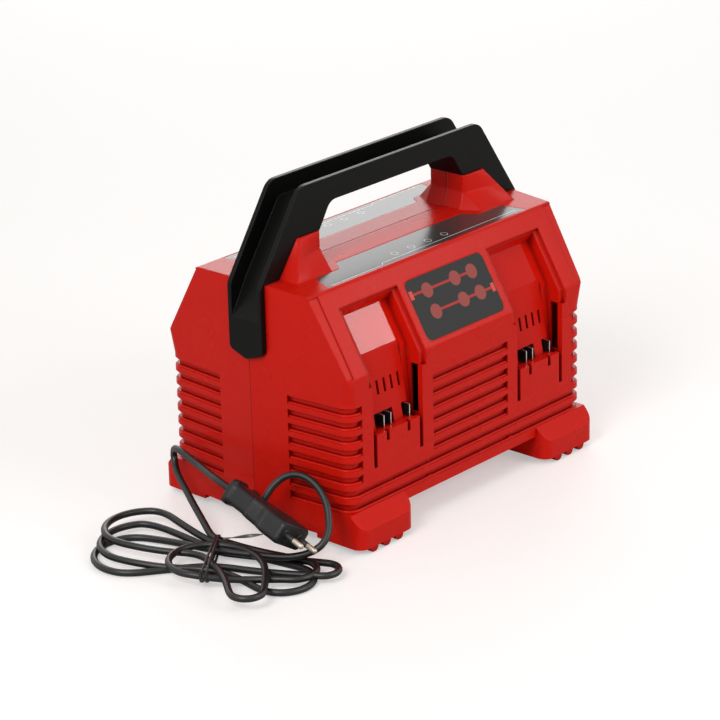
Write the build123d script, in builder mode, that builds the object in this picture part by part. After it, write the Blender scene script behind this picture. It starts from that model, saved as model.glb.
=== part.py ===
from build123d import *
from math import atan2, cos, hypot, pi, radians, sin, tan
import os

os.makedirs("parts", exist_ok=True)

# Power tool battery charger with four slide-in battery ports, two on each long side.
# Row frame in mm: +X along the length, +Z up, origin on the floor under the middle.
# The front half lies at -Y and the rear half is the same moulding turned half a turn about Z.

# ---------------------------------------------------------------- driving dimensions
length = 302.0              # over the ridges down the middle of the two end faces
end_taper = 7.6             # how far each end face falls back from its ridge to its corners
body_depth = 190.0          # over the front and rear walls
shoulder_height = 140.0     # where the upright wall turns into the sloping face
top_half_depth = 58.5       # from the parting plane to the edge of the flat top
top_edge_height = 201.0
crown_rise = 2.5            # the top rises by this along the parting plane
skirt_height = 9.0          # lower edge of the end faces
arch_height = 24.0          # lower edge of the long walls between the feet
corner_radius = 12.0        # upright corners of the grooved walls
slope_corner_radius = 4.0   # upright corners above the shoulder
crease_radius = 3.0         # rounding along shoulder and top edges
wall = 2.6                  # plain housing wall
grooved_wall = 5.0          # housing wall behind the cooling grooves
floor_thickness = 3.0

# cooling grooves
groove_count = 8
long_groove_count = 2       # the lowest grooves run right across the long wall
groove_drop = 25.4          # middle of the highest groove under the shoulder
lowest_groove_rise = 11.7   # middle of the lowest groove over the arch
groove_depth = 3.4
groove_floor = 4.0          # height of a groove at its floor
groove_lip = 1.4            # radius that rounds the edge of each rib
groove_overcut = 1.5        # how far the cutter stands out of the wall
groove_end_gap = 35.6       # grooves stop this far from the parting plane on the end faces
corner_groove_reach = 14.4  # the upper corner grooves run this far along the long wall
groove_margin = 8.0         # plain wall between a port and the block of grooves in the centre

# battery ports
port_end_gap = 63.65        # from the ridge of the end face to the middle of the nearest port
port_rim_half = 33.4        # half width of the shallow upper step of a port
port_rim_depth = 3.1        # its depth, square to the slope
port_half = 29.0            # half width of the deep channel
port_depth = 12.0           # depth of the channel floor, square to the slope
port_top = 54.7             # upper rim of a port, up the slope from the shoulder
port_top_draft = 5.5        # how much lower the channel floor starts than the rim
port_bend = 11.2            # where the channel floor turns down, up the slope from the shoulder
port_rim_drop = 11.0        # lower end of the shallow step under the shoulder
port_rim_gap = 1.2          # ledge along the top of the channel
port_back_angle = 3.0       # lean of the deep wall from upright, degrees
port_shadow_depth = 7.5     # openings in the channel's side walls
port_foot_gap = 0.4         # lower end of the channel over the groove below it
tongue_half = 25.0          # half width of the tongue between the rail slots
tongue_top = 17.0           # top of the tongue, up the slope from the shoulder
pad_half = 22.0             # half width of the raised pad of the tongue
pad_angle = 10.0            # lean of the pad from upright, degrees
plate_rise = 26.5           # top edge of the tongue's front plate over the lower end of the port
plate_thickness = 3.5
side_lip = 4.6              # front strip of the channel's side walls, ahead of their openings
pocket_wall = 2.4           # walls of the port pocket inside the housing
port_vent_count = 5
port_vent_pitch = 8.1
port_vent_width = 2.4
port_vent_height = 11.0
port_vent_drop = 21.0       # middle of the vents under the shoulder

# contacts
contact_positions = (-10.5, -2.5, 19.5)   # contact blades across a port
contact_thickness = 0.8
contact_height = 10.0
contact_lift = 0.3          # lower edge of the blades over the plate
contact_front = 5.5         # front edge of the blades behind the front wall plane
contact_windows = ((-17.0, 4.5), (15.0, 22.0))
window_height = 11.5
notch_positions = (-12.2, 12.2)           # locating notches in the plate's top edge
notch_width = 3.4
notch_depth = 8.0
holder_half = 18.6
holder_depth = 12.0
holder_height = 22.0
holder_sink = 4.5           # underside of the contact holder below the plate's top edge
holder_front = 14.0         # front of the contact holder behind the front wall plane

# feet
foot_length = 63.5
foot_end_gap = 5.5          # outer side of a foot inside the ridge of the end face
foot_overhang = 11.0        # front of a foot ahead of the wall
foot_ridge_height = 20.3
foot_top_height = 32.0      # where the sloping top of a foot meets the wall
foot_base = 5.0             # flat underside of a foot above its toes
foot_root = 35.0            # how far inwards of the wall a foot runs
foot_corner_radius = 9.0
foot_hollow = 11.0          # pocket inside a foot, and its height
foot_hollow_height = 11.0
toe_steps = (16.7, 31.3, 45.8)            # toes, inwards from the outer side of the foot
toe_width = 9.0
toe_rise = 8.0              # height of the middle of a toe's full section
toe_flat = 0.4              # how much of its round underside is worn flat
toe_setback = 1.5

# printed strips and plates
panel_thickness = 1.0       # printed strips on the top
panel_end_gap = 32.0        # end of a strip inside the ridge of the end face
panel_edge = 3.0            # front of a strip behind the edge of the flat top
panel_step = 35.0           # its inner edge beside the pylons, from the parting plane
panel_back = 24.0           # and between them
panel_end_slant = 7.0
panel_step_gap = 28.0       # the step in the inner edge, inwards of the handle's seat
panel_step_slant = 8.0
panel_corner = 1.5
label_thickness = 0.8       # printed plate between the ports
label_margin = 6.95         # plain wall between a port and the plate
label_low = 4.8             # lower and upper edge of the plate up the slope
label_high = 55.2
label_corner = 6.0
border_step = 0.9           # the sloping face stands this proud of its two end borders
border_width = 14.7

# carrying handle
handle_height = 270.0
handle_half_width = 17.2
handle_setback = 44.0       # upper corners of the handle inside the ridge of the end face
grip_height = 19.0          # height of the grip bar
channel_depth = 14.6        # depth of the open channel in its outer side
channel_half = 13.4
handle_corner_radius = 14.0
channel_corner_radius = 8.0
grip_inner_radius = 11.0
grip_inner_run = 34.0       # from the upper corner inwards to where the leg leaves the grip
leg_proud = 3.5             # outer face of the leg ahead of the ridge of the end face
leg_seat = 3.0              # how deep the leg is let into the end face
leg_seat_drop = 20.0        # top of the upright part of that seat under the top edge
leg_bend_drop = 1.0         # where the leg turns upright, under the top edge
leg_knee_gap = 16.5         # inner side of the leg at the bend, inside the ridge of the end face
leg_web = 3.2
web_thickness = 4.0
leg_foot_rise = 1.0         # lower end of the leg over the shoulder
leg_tip_rise = 6.0          # that end is a shallow V
leg_tip_radius = 5.0
channel_corner_run = 8.5
channel_end_rise = 25.0     # lower end of the channel over the end of the leg
seat_inner_run = 21.0       # the handle's seat on a pylon, inwards and outwards of its upper corner
seat_outer_run = 5.0
hand_clearance = 20.4       # pylon heads under the grip bar

# pylons, measured from the seat and from the parting plane
pylon_head_half = 19.0      # half depth of the head
pylon_head_bevel = 2.5
pylon_foot_half = 34.5      # half depth of the foot
pylon_side_half = 18.0      # half depth of the inner side of the foot
pylon_end_half = 8.0
pylon_foot_run = 6.0        # inner side of the foot inwards of the seat
pylon_bevel_run = 11.5
pylon_outer_run = 22.0      # outer side of the foot outwards of the seat
pylon_cove_heights = (4.5, 13.0)          # the inner corner sweeps out below these heights
pylon_cove_share = 0.45     # how far the sweep has come in at the lower of them
pylon_roof = 3.0

# boards and lights
board_end_gap = 51.0        # end of the power board inside the ridge of the end face
board_width = 104.0
board_thickness = 1.6
board_height = 38.0         # underside of the power board
board_post_inset = 22.0     # screw posts, inwards from the ends of the board
board_post_y = 42.0
indicator_board_drop = 17.5 # underside of an indicator board under the crown
indicator_length = 112.0
indicator_width = 18.0
indicator_post_x = 50.0
indicator_post_y = 38.0
light_positions = (-30.0, -10.0, 10.0, 30.0)
light_row_y = -44.0
light_radius = 1.8
light_play = 0.2
light_stem = 2.0

# screws and their posts
post_radius = 4.5
slim_post_radius = 3.0
post_rib = 3.0
post_rib_depth = 20.0
end_post_gap = 18.0         # upper posts inside the ridge of the end face
end_post_drop = 10.0        # and under the shoulder
floor_post_x = 50.0
floor_post_rise = 6.0       # lower posts over the arch
housing_screw_radius = 1.5
pilot_depth = 14.0
screw_seat = 14.0
screw_play = 0.3
screw_stop = 2.0            # a screw ends this far short of its pilot hole
counterbore_radius = 3.2
handle_screw_run = 8.0      # handle screws, inwards of the handle's upper corner
handle_screw_y = 8.0
handle_screw_radius = 1.6
handle_screw_length = 13.0
board_screw_radius = 1.5
board_screw_length = 8.0
recess_width = 0.6          # cross recess in a screw's head
recess_share = 1.2          # its span in radii of the head

# wiring and what stands on the power board
wire_end_rise = 6.5         # the port wires end this far over the plate's top edge
wire_bundle = 4.0
wire_rise = 18.0
wire_run = 9.0
wire_bends = (9.0, 5.0)
connector_inset = 9.0       # connectors and terminal, inwards from the ends of the board
connector_y = 44.0
connector_width = 14.0
connector_depth = 8.0
connector_height = 10.0
core_x = -8.0
core_width = 54.0
core_depth = 30.0
core_height = 44.0
core_window = 10.0
core_window_x = 12.5
core_window_height = 28.0
winding_overhang = 7.0
winding_play = 0.4
winding_corner = 5.0
capacitor_x = -44.0
capacitor_y = 24.0
capacitor_radius = 11.0
capacitor_height = 40.0
capacitor_edge = 1.5
choke_x = -66.0
choke_radius = 11.0
choke_section = 4.5
fuse_x = -76.0
fuse_y = 28.0
fuse_base = (24.0, 9.0, 3.0)              # length, width and height
fuse_clip = (4.0, 7.0, 6.0)
fuse_clip_x = 9.0
fuse_radius = 2.5
fuse_length = 20.0
sink_x = 55.0
sink_y = 8.0
sink_width = 56.0
sink_depth = 26.0
sink_height = 42.0
sink_web = 5.0
sink_slots = 7
transistor_count = 3
transistor_size = (10.0, 4.5, 15.0)
transistor_legs = (6.0, 1.0, 8.0)
terminal_length = 12.0
terminal_width = 26.0
terminal_height = 12.0
terminal_edge = 3.0
core_spread = 1.4           # the two cores of the lead where its jacket ends
core_reach = 4.0            # and at the terminal
core_radius = 1.2
core_straight = 6.0
core_bend = 4.0

# mains lead
cord_diameter = 5.6
exit_height = 24.0
relief_collar = 3.0         # straight shoulder outside the wall
relief_neck = 5.0           # radius through the wall
relief_lip = 1.0            # the collar is this much wider
relief_flange = 2.5         # thickness of the flange behind the wall
relief_flange_lip = 2.5
relief_play = 0.1           # the flange's play behind the wall
relief_bend = 24.0          # the flexible boot is bent to this radius
relief_turn = 48.0          # through this angle
relief_root = 11.0
relief_tip = 7.4
inner_jacket = 20.0
clamp_length = 8.0
clamp_width = 22.0
clamp_roof = 3.0
clamp_corner = 4.0
cord_lead = 13.0            # straight run out of the boot and out of the plug
exit_points = [
    (-182, -29, 32), (-177, -34, 44), (-169, -37, 56), (-161, -44, 65), (-156, -57, 67),
    (-155, -71, 61), (-158, -82, 51), (-164, -91, 40), (-173, -95, 30), (-182, -93, 21), (-190, -87, 10),
]
plug_points = [
    (-199, -2, 7), (-190, 15, 14), (-179, 36, 22), (-170, 53, 28), (-162, 67, 33), (-156, 76, 38),
    (-152, 80, 45), (-152, 76, 52), (-155, 66, 53), (-161, 51, 51), (-170, 33, 49), (-181, 16, 50),
]

# plug
plug_rear_point = (-192.0, -16.0, 48.0)
plug_heading = (-0.08, -0.964, -0.254)
plug_lean = (0.845, 0.07, -0.53)          # along the width of the plug
plug_length = 70.0
plug_sections = (           # along the plug: distance, width, thickness, corner radius
    (0.0, 11.0, 11.0, 4.5),
    (11.0, 13.0, 12.0, 4.5),
    (16.0, 22.0, 16.0, 6.0),
    (44.0, 24.0, 17.0, 6.0),
    (52.0, 35.0, 17.0, 6.0),
    (plug_length, 35.0, 17.0, 6.0),
)
pin_diameter = 4.8
pin_length = 19.0
pin_spacing = 19.0
pin_tip_radius = 1.8

# hank of cord and the tie round it
hank_points = [
    (-280, 54), (-250, 84), (-214, 86), (-197, 58), (-206, 12), (-210, -12), (-194, -30), (-179, -64),
    (-176, -96), (-188, -122), (-204, -114), (-230, -126), (-246, -112), (-268, -106), (-268, -82),
    (-252, -62), (-246, -45), (-264, -34), (-276, -8), (-294, 14),
]
hank_corner = 7.0
hank_height = 14.0
hank_edge = 4.0
hank_level_run = 30.0       # the hank is level this far past the tie
hank_fall = 4.5             # and then thins out at this angle, degrees
tie_x = -227.5
tie_y = -27.0
tie_angle = -55.0           # the run of the hank under the tie
tie_width = 3.0
tie_span = 55.0
tie_thickness = 1.6
tie_corner = 4.0

# ---------------------------------------------------------------- worked-out dimensions
half_length = length / 2
half_depth = body_depth / 2
corner_x = half_length - end_taper
crown_height = top_edge_height + crown_rise
slope_run = half_depth - top_half_depth
slope_rise = top_edge_height - shoulder_height
slope_length = hypot(slope_run, slope_rise)
slope_dy = slope_run / slope_length
slope_dz = slope_rise / slope_length
floor_height = arch_height + floor_thickness
top_groove_height = shoulder_height - groove_drop
groove_pitch = (top_groove_height - arch_height - lowest_groove_rise) / (groove_count - 1)
groove_mouth_half = groove_floor / 2 + groove_lip
groove_band_top = top_groove_height + 2 * groove_mouth_half
port_x = half_length - port_end_gap
port_bottom = (top_groove_height - (groove_count - long_groove_count - 1) * groove_pitch
               + groove_mouth_half + port_foot_gap)
port_rim_bottom = shoulder_height - port_rim_drop
port_vent_middle = shoulder_height - port_vent_drop
plate_height = port_bottom + plate_rise
contact_bottom = plate_height + contact_lift
holder_bottom = plate_height - holder_sink
holder_top = holder_bottom + holder_height
corner_groove_end = corner_x - corner_groove_reach
centre_groove_half = port_x - port_rim_half - groove_margin
label_half = port_x - port_rim_half - label_margin
border_inner = half_length - border_width
panel_reach = half_length - panel_end_gap
foot_outer = half_length - foot_end_gap
foot_inner = foot_outer - foot_length
foot_reach = half_depth + foot_overhang
foot_back = half_depth - foot_root
handle_corner = half_length - handle_setback
seat_inner = handle_corner - seat_inner_run
seat_outer = handle_corner + seat_outer_run
grip_underside = handle_height - grip_height
boss_height = grip_underside - hand_clearance
leg_reach = half_length + leg_proud
leg_bottom = shoulder_height + leg_foot_rise
leg_seat_height = top_edge_height - leg_seat_drop
leg_bend_height = top_edge_height - leg_bend_drop
leg_knee_x = half_length - leg_knee_gap
channel_end_height = leg_bottom + channel_end_rise
board_length = 2 * (half_length - board_end_gap)
board_top = board_height + board_thickness
board_post_x = board_length / 2 - board_post_inset
connector_x = board_length / 2 - connector_inset
terminal_x = -connector_x
indicator_board_height = crown_height - indicator_board_drop
handle_screw_x = handle_corner - handle_screw_run
top_slant = atan2(crown_height - top_edge_height, top_half_depth)
end_floor = skirt_height + floor_thickness
end_post_x = half_length - end_post_gap
end_post_z = shoulder_height - end_post_drop
floor_post_z = arch_height + floor_post_rise
housing_screw_places = (
    (-end_post_x, end_post_z),
    (end_post_x, end_post_z),
    (-floor_post_x, floor_post_z),
    (floor_post_x, floor_post_z),
)
board_post_places = [(x, y) for x in (-board_post_x, board_post_x) for y in (-board_post_y, board_post_y)]
handle_screw_places = [
    (x, y) for x in (-handle_screw_x, handle_screw_x) for y in (-handle_screw_y, handle_screw_y)]


standing = (Align.CENTER, Align.CENTER, Align.MIN)     # centred, with its underside at the given place


def slope_point(up, depth):
    """YZ point that lies up the sloping face from the shoulder, at a depth below its surface."""
    y = -half_depth + up * slope_dy + depth * slope_dz
    return (y, shoulder_height + up * slope_dz - depth * slope_dy)


def end_face_x(y):
    """X of the right-hand end face at a distance y from the parting plane."""
    return half_length - end_taper * abs(y) / half_depth


def write_part(builder, name):
    """Label one finished piece and write its STEP file."""
    builder.part.label = name
    export_step(builder.part, f"parts/{name}.step")


# ---------------------------------------------------------------- half housing, outer form
def half_plan(radius, inset=0.0):
    """Outline of the front half seen from above: two end faces meeting one long wall."""
    front = -half_depth + inset
    corner = corner_x - inset
    middle = half_length - inset
    with BuildSketch() as plan:
        with BuildLine():
            Polyline((-middle, 0), (-corner, front), (corner, front), (middle, 0), close=True)
        make_face()
        fillet(plan.vertices().group_by(Axis.Y)[0], radius)
    return plan.sketch


def half_profile(inset=0.0, base=skirt_height):
    """Outline of the front half seen from the end: upright wall, sloping face and crowned top."""
    lean = inset * tan((radians(90) - atan2(slope_rise, slope_run)) / 2)
    drop = inset * tan(atan2(slope_rise, slope_run) / 2)
    with BuildSketch(Plane.YZ) as profile:
        with BuildLine():
            Polyline(
                (0, base),
                (-half_depth + inset, base),
                (-half_depth + inset, shoulder_height - lean),
                (-top_half_depth + drop, top_edge_height - inset),
                (0, crown_height - inset),
                close=True,
            )
        make_face()
    return profile.sketch


with BuildPart() as outer_form:
    with BuildSketch(Plane.XY.offset(skirt_height)):
        add(half_plan(corner_radius))
    extrude(amount=groove_band_top - skirt_height)
    with BuildSketch(Plane.XY.offset(groove_band_top)) as lower_ring:
        add(half_plan(corner_radius))
    with BuildSketch(Plane.XY.offset(shoulder_height)) as upper_ring:
        add(half_plan(slope_corner_radius))
    loft([lower_ring.sketch, upper_ring.sketch], ruled=True)
    with BuildSketch(Plane.XY.offset(shoulder_height)):
        add(half_plan(slope_corner_radius))
    extrude(amount=crown_height - shoulder_height)
    extrude(half_profile(), amount=half_length, both=True, mode=Mode.INTERSECT)
    shoulder_edge = outer_form.edges().filter_by(Axis.X).filter_by_position(
        Axis.Z, shoulder_height - 0.1, shoulder_height + 0.1)
    top_edge = outer_form.edges().filter_by(Axis.X).filter_by_position(
        Axis.Z, top_edge_height - 0.1, top_edge_height + 0.1)
    fillet(shoulder_edge + top_edge, crease_radius)

# ---------------------------------------------------------------- half housing, hollow inside
with BuildPart() as cavity:
    with BuildSketch(Plane.XY.offset(end_floor)):
        add(half_plan(corner_radius - grooved_wall, grooved_wall))
    extrude(amount=groove_band_top - end_floor)
    with BuildSketch(Plane.XY.offset(groove_band_top)):
        add(half_plan(slope_corner_radius, wall))
    extrude(amount=crown_height - groove_band_top)
    extrude(half_profile(wall, end_floor), amount=half_length, both=True, mode=Mode.INTERSECT)
    with Locations((0, 0, end_floor)):
        Box(2 * (foot_inner + floor_thickness), body_depth, floor_height - end_floor,
            align=(Align.CENTER, Align.MAX, Align.MIN), mode=Mode.SUBTRACT)

# ---------------------------------------------------------------- cooling grooves
def groove_section():
    """Section of a groove: a flat floor whose lips open out in a quarter round."""
    floor = groove_floor / 2
    mouth = groove_mouth_half
    with BuildSketch() as section:
        with BuildLine():
            Line((-groove_depth, -floor), (-groove_depth, floor))
            Line((-groove_depth, floor), (-groove_lip, floor))
            RadiusArc((-groove_lip, floor), (0, mouth), groove_lip)
            Polyline((0, mouth), (groove_overcut, mouth), (groove_overcut, -mouth), (0, -mouth))
            RadiusArc((0, -mouth), (-groove_lip, -floor), groove_lip)
            Line((-groove_lip, -floor), (-groove_depth, -floor))
        make_face()
    return section.sketch


def groove_cutter(corners, radii):
    """A groove at the highest level, swept along a path that follows the wall seen from above."""
    with BuildPart() as cutter:
        with BuildLine(Plane.XY.offset(top_groove_height)) as path:
            if radii:
                FilletPolyline(*corners, radius=radii)
            else:
                Line(*corners)
        start = path.line @ 0
        along = path.line % 0
        outward = Vector(along.Y, -along.X, 0)
        with BuildSketch(Plane(start, x_dir=outward, z_dir=along)):
            add(groove_section())
        sweep(path=path.line)
    return cutter.part


left_start = (-end_face_x(groove_end_gap), -groove_end_gap)
right_start = (end_face_x(groove_end_gap), -groove_end_gap)
left_corner = (-corner_x, -half_depth)
right_corner = (corner_x, -half_depth)
left_groove = groove_cutter([left_start, left_corner, (-corner_groove_end, -half_depth)], corner_radius)
right_groove = groove_cutter([(corner_groove_end, -half_depth), right_corner, right_start], corner_radius)
centre_groove = groove_cutter([(-centre_groove_half, -half_depth), (centre_groove_half, -half_depth)], None)
long_groove = groove_cutter([left_start, left_corner, right_corner, right_start], corner_radius)

with BuildPart() as grooves:
    for level in range(groove_count):
        shift = Location((0, 0, -level * groove_pitch))
        if level < groove_count - long_groove_count:
            add([left_groove.moved(shift), centre_groove.moved(shift), right_groove.moved(shift)])
        else:
            add(long_groove.moved(shift))

# ---------------------------------------------------------------- feet
with BuildPart() as foot:
    with BuildSketch(Plane.YZ.offset(foot_inner)):
        with BuildLine():
            Polyline(
                (-foot_reach, foot_base),
                (-foot_reach, foot_ridge_height),
                (-half_depth, foot_top_height),
                (-foot_back, foot_top_height),
                (-foot_back, foot_base),
                close=True,
            )
        make_face()
    extrude(amount=foot_outer - foot_inner)
    uprights = foot.edges().filter_by(Axis.Z)
    fillet(uprights.sort_by(Axis.Y)[:2], foot_corner_radius)
    for toe_step in toe_steps:
        with BuildSketch(Plane.XZ.offset(foot_back)):
            with Locations((foot_outer - toe_step, toe_rise - toe_flat)):
                SlotOverall(2 * toe_rise, toe_width, rotation=90)
        extrude(amount=foot_reach - foot_back - toe_setback)
    with Locations((foot_inner, -foot_reach, 0)):
        Box(foot_length, foot_reach, toe_rise, align=(Align.MIN, Align.MIN, Align.MAX), mode=Mode.SUBTRACT)

# ---------------------------------------------------------------- one battery port, modelled at X = 0
channel_bend = slope_point(port_bend, port_depth)
channel_foot_y = channel_bend[0] - (channel_bend[1] - port_bottom) * tan(radians(port_back_angle))
tongue_head = slope_point(tongue_top, port_depth)
pad_foot_y = tongue_head[0] - (tongue_head[1] - plate_height) * tan(radians(pad_angle))
shoulder_lean = tan(atan2(slope_run, slope_rise) / 2)
rim_foot_y = -half_depth + port_rim_depth
rim_shoulder = (rim_foot_y, shoulder_height - port_rim_depth * shoulder_lean)
skin = wall / 2             # port blocks start this deep, inside the housing wall
block_rim = port_rim_depth + pocket_wall


def across(points, half_width):
    """A prism along X, of the given half width, over an outline in the YZ plane."""
    with BuildPart() as prism:
        with BuildSketch(Plane.YZ):
            with BuildLine():
                Polyline(*points, close=True)
            make_face()
        extrude(amount=half_width, both=True)
    return prism.part


port_block = across(
    [
        slope_point(port_top + pocket_wall, skin),
        slope_point(port_top + pocket_wall, block_rim),
        slope_point(port_top - port_top_draft + pocket_wall, port_depth + pocket_wall),
        slope_point(port_bend - pocket_wall / 2, port_depth + pocket_wall),
        (channel_foot_y + pocket_wall, port_bottom - pocket_wall),
        (-half_depth + skin, port_bottom - pocket_wall),
        (-half_depth + skin, shoulder_height - skin * shoulder_lean),
    ],
    port_half + pocket_wall,
)
port_rim_block = across(
    [
        slope_point(port_top + pocket_wall, skin),
        slope_point(port_top + pocket_wall, block_rim),
        (-half_depth + block_rim, shoulder_height - block_rim * shoulder_lean),
        (-half_depth + block_rim, port_rim_bottom - pocket_wall),
        (-half_depth + skin, port_rim_bottom - pocket_wall),
        (-half_depth + skin, shoulder_height - skin * shoulder_lean),
    ],
    port_rim_half + pocket_wall,
)
port_rim = across(
    [
        slope_point(port_top, -wall),
        slope_point(port_top, port_rim_depth),
        rim_shoulder,
        (rim_foot_y, port_rim_bottom),
        (-half_depth - wall, port_rim_bottom),
        (-half_depth - wall, shoulder_height + wall * shoulder_lean),
    ],
    port_rim_half,
)
port_channel = across(
    [
        slope_point(port_top - port_rim_gap, -wall),
        slope_point(port_top - port_rim_gap, port_rim_depth),
        slope_point(port_top - port_top_draft, port_depth),
        channel_bend,
        (channel_foot_y, port_bottom),
        (-half_depth - wall, port_bottom),
        (-half_depth - wall, shoulder_height + wall * shoulder_lean),
    ],
    port_half,
)

tongue_pad = across(
    [
        tongue_head,
        (pad_foot_y, plate_height),
        (-half_depth, plate_height),
        (-half_depth, port_bottom - pocket_wall),
        (channel_foot_y + pocket_wall, port_bottom - pocket_wall),
        (tongue_head[0] + pocket_wall, tongue_head[1]),
    ],
    pad_half,
)
pad_clearance = across(
    [
        tongue_head,
        (pad_foot_y, plate_height),
        (-half_depth - wall, plate_height),
        (-half_depth - wall, tongue_head[1]),
    ],
    pad_half,
)
with BuildPart() as tongue:
    add(tongue_pad)
    with Locations((0, -half_depth, port_bottom - pocket_wall)):
        Box(2 * tongue_half, plate_thickness, plate_height - port_bottom + pocket_wall,
            align=(Align.CENTER, Align.MIN, Align.MIN))

with BuildPart() as port_cuts:
    through = 2 * port_depth + 2 * pocket_wall
    for step in range(port_vent_count):
        vent_x = (step - (port_vent_count - 1) / 2) * port_vent_pitch
        with Locations((vent_x, -half_depth + contact_front, port_vent_middle)):
            Box(port_vent_width, through, port_vent_height, align=(Align.CENTER, Align.MIN, Align.CENTER))
    for low_x, high_x in contact_windows:
        with Locations((low_x, -half_depth + plate_thickness, plate_height)):
            Box(high_x - low_x, through, window_height, align=(Align.MIN, Align.MIN, Align.MIN))
    for notch_x in notch_positions:
        with Locations((notch_x, -half_depth, plate_height)):
            Box(notch_width, plate_thickness, notch_depth, align=(Align.CENTER, Align.MIN, Align.MAX))
    for side in (-1, 1):
        with Locations((side * (port_half + pocket_wall / 2), -half_depth + side_lip, plate_height)):
            Box(2 * pocket_wall, port_shadow_depth, port_rim_bottom - plate_height,
                align=(Align.CENTER, Align.MIN, Align.MIN))
    with Locations((0, -half_depth + holder_front, holder_bottom)):
        Box(2 * holder_half, through, holder_top - holder_bottom, align=(Align.CENTER, Align.MIN, Align.MIN))


def at_ports(piece):
    """Copies of a piece modelled at X = 0, one at each port of the front half."""
    return [piece.moved(Location((x, 0, 0))) for x in (-port_x, port_x)]


# ---------------------------------------------------------------- handle
leg_inner_x = end_face_x(handle_half_width) - leg_seat
channel_floor = handle_height - channel_depth
channel_corner_x = handle_corner - channel_corner_run
grip_inner_x = handle_corner - grip_inner_run
handle_right = [
    (0, handle_height),
    (handle_corner, handle_height),
    (leg_reach, leg_bend_height),
    (leg_reach, leg_bottom),
    (leg_inner_x, leg_bottom),
    (leg_inner_x, leg_seat_height),
    (leg_knee_x, leg_bend_height),
    (seat_outer, boss_height),
    (seat_inner, boss_height),
    (grip_inner_x, grip_underside),
    (0, grip_underside),
]
channel_right = [
    (0, channel_floor),
    (channel_corner_x, channel_floor),
    (leg_knee_x + web_thickness, leg_bend_height),
    (leg_inner_x + leg_web, leg_seat_height),
    (leg_reach + web_thickness, channel_end_height),
    (2 * leg_reach, channel_end_height),
    (2 * leg_reach, handle_height + channel_depth),
    (0, handle_height + channel_depth),
]


def both_sides(points, half_width):
    """A prism along Y over an outline in the XZ plane that is mirrored about X = 0."""
    mirrored = [(-x, z) for x, z in reversed(points)]
    with BuildPart() as prism:
        with BuildSketch(Plane.XZ):
            with BuildLine():
                Polyline(*points, *mirrored[1:-1], close=True)
            make_face()
        extrude(amount=half_width, both=True)
    return prism.part


def edges_at(part, x, z):
    """The edges along Y of a part that pass through +x or -x at height z."""
    return part.edges().filter_by(Axis.Y).filter_by(
        lambda edge: abs(abs(edge.center().X) - x) < 0.1 and abs(edge.center().Z - z) < 0.1)


with BuildPart() as handle_channel:
    add(both_sides(channel_right, channel_half))
    fillet(edges_at(handle_channel, channel_corner_x, channel_floor), channel_corner_radius)

with BuildPart() as leg_tips:
    add(across(
        [
            (0, leg_bottom),
            (handle_half_width, leg_bottom + leg_tip_rise),
            (handle_half_width, handle_height),
            (-handle_half_width, handle_height),
            (-handle_half_width, leg_bottom + leg_tip_rise),
        ],
        leg_reach,
    ))
    fillet(leg_tips.edges().filter_by(Axis.X).group_by(Axis.Z)[1], leg_tip_radius)

with BuildPart() as handle_envelope:
    add(both_sides(handle_right, handle_half_width))
    fillet(edges_at(handle_envelope, handle_corner, handle_height), handle_corner_radius)
    fillet(edges_at(handle_envelope, leg_reach, leg_bend_height), handle_corner_radius)
    fillet(edges_at(handle_envelope, grip_inner_x, grip_underside), grip_inner_radius)
    add(leg_tips.part, mode=Mode.INTERSECT)

with BuildPart() as carry_handle:
    add(handle_envelope.part)
    add(handle_channel.part, mode=Mode.SUBTRACT)


# ---------------------------------------------------------------- pylons that carry the handle
def pylon_level(height, corners, inset=0.0):
    """One level of a pylon: its corners on the front side, mirrored to the rear side."""
    rear = [(x, -y) for x, y in reversed(corners) if y < 0]
    with BuildSketch(Plane.XY.offset(height)) as level:
        with BuildLine():
            Polyline(*corners, *rear, close=True)
        make_face()
        if inset:
            offset(amount=-inset, kind=Kind.INTERSECTION)
    return level.sketch


pylon_inner = seat_inner - pylon_foot_run
pylon_outer = seat_outer + pylon_outer_run
pylon_foot = [
    (pylon_inner, -pylon_side_half),
    (pylon_inner + pylon_bevel_run, -pylon_foot_half),
    (pylon_outer - pylon_head_bevel, -pylon_foot_half),
    (pylon_outer, -pylon_head_half),
    (pylon_outer, -pylon_end_half),
]
pylon_head = [
    (seat_inner, pylon_head_bevel - pylon_head_half),
    (seat_inner + pylon_head_bevel, -pylon_head_half),
    (seat_outer - pylon_head_bevel, -pylon_head_half),
    (seat_outer, pylon_head_bevel - pylon_head_half),
    (seat_outer, -pylon_end_half),
]
pylon_base = crown_height - wall + 0.3


def between(foot_corner, head_corner, share):
    """The point that lies a share of the way from a corner of the foot to one of the head."""
    return tuple(low + share * (high - low) for low, high in zip(foot_corner, head_corner))


def pylon_sections(base, top, inset=0.0):
    """Levels of a pylon: outer corners rise straight, and the two inner corners sweep out in a cove."""
    levels = [pylon_level(base, pylon_foot, inset)]
    for rise, inward in zip(pylon_cove_heights, (pylon_cove_share, 1.0)):
        share = (crown_height + rise - base) / (top - base)
        inner = [between(low, high, inward) for low, high in zip(pylon_foot[:2], pylon_head[:2])]
        outer = [between(low, high, share) for low, high in zip(pylon_foot[2:], pylon_head[2:])]
        levels.append(pylon_level(crown_height + rise, inner + outer, inset))
    levels.append(pylon_level(top, pylon_head, inset))
    return levels


with BuildPart() as pylon:
    loft(pylon_sections(pylon_base, boss_height), ruled=True)
with BuildPart() as pylon_hollow:
    loft([
        pylon_level(crown_height - 2 * wall, pylon_head, wall),
        pylon_level(boss_height - pylon_roof, pylon_head, wall),
    ], ruled=True)

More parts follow.
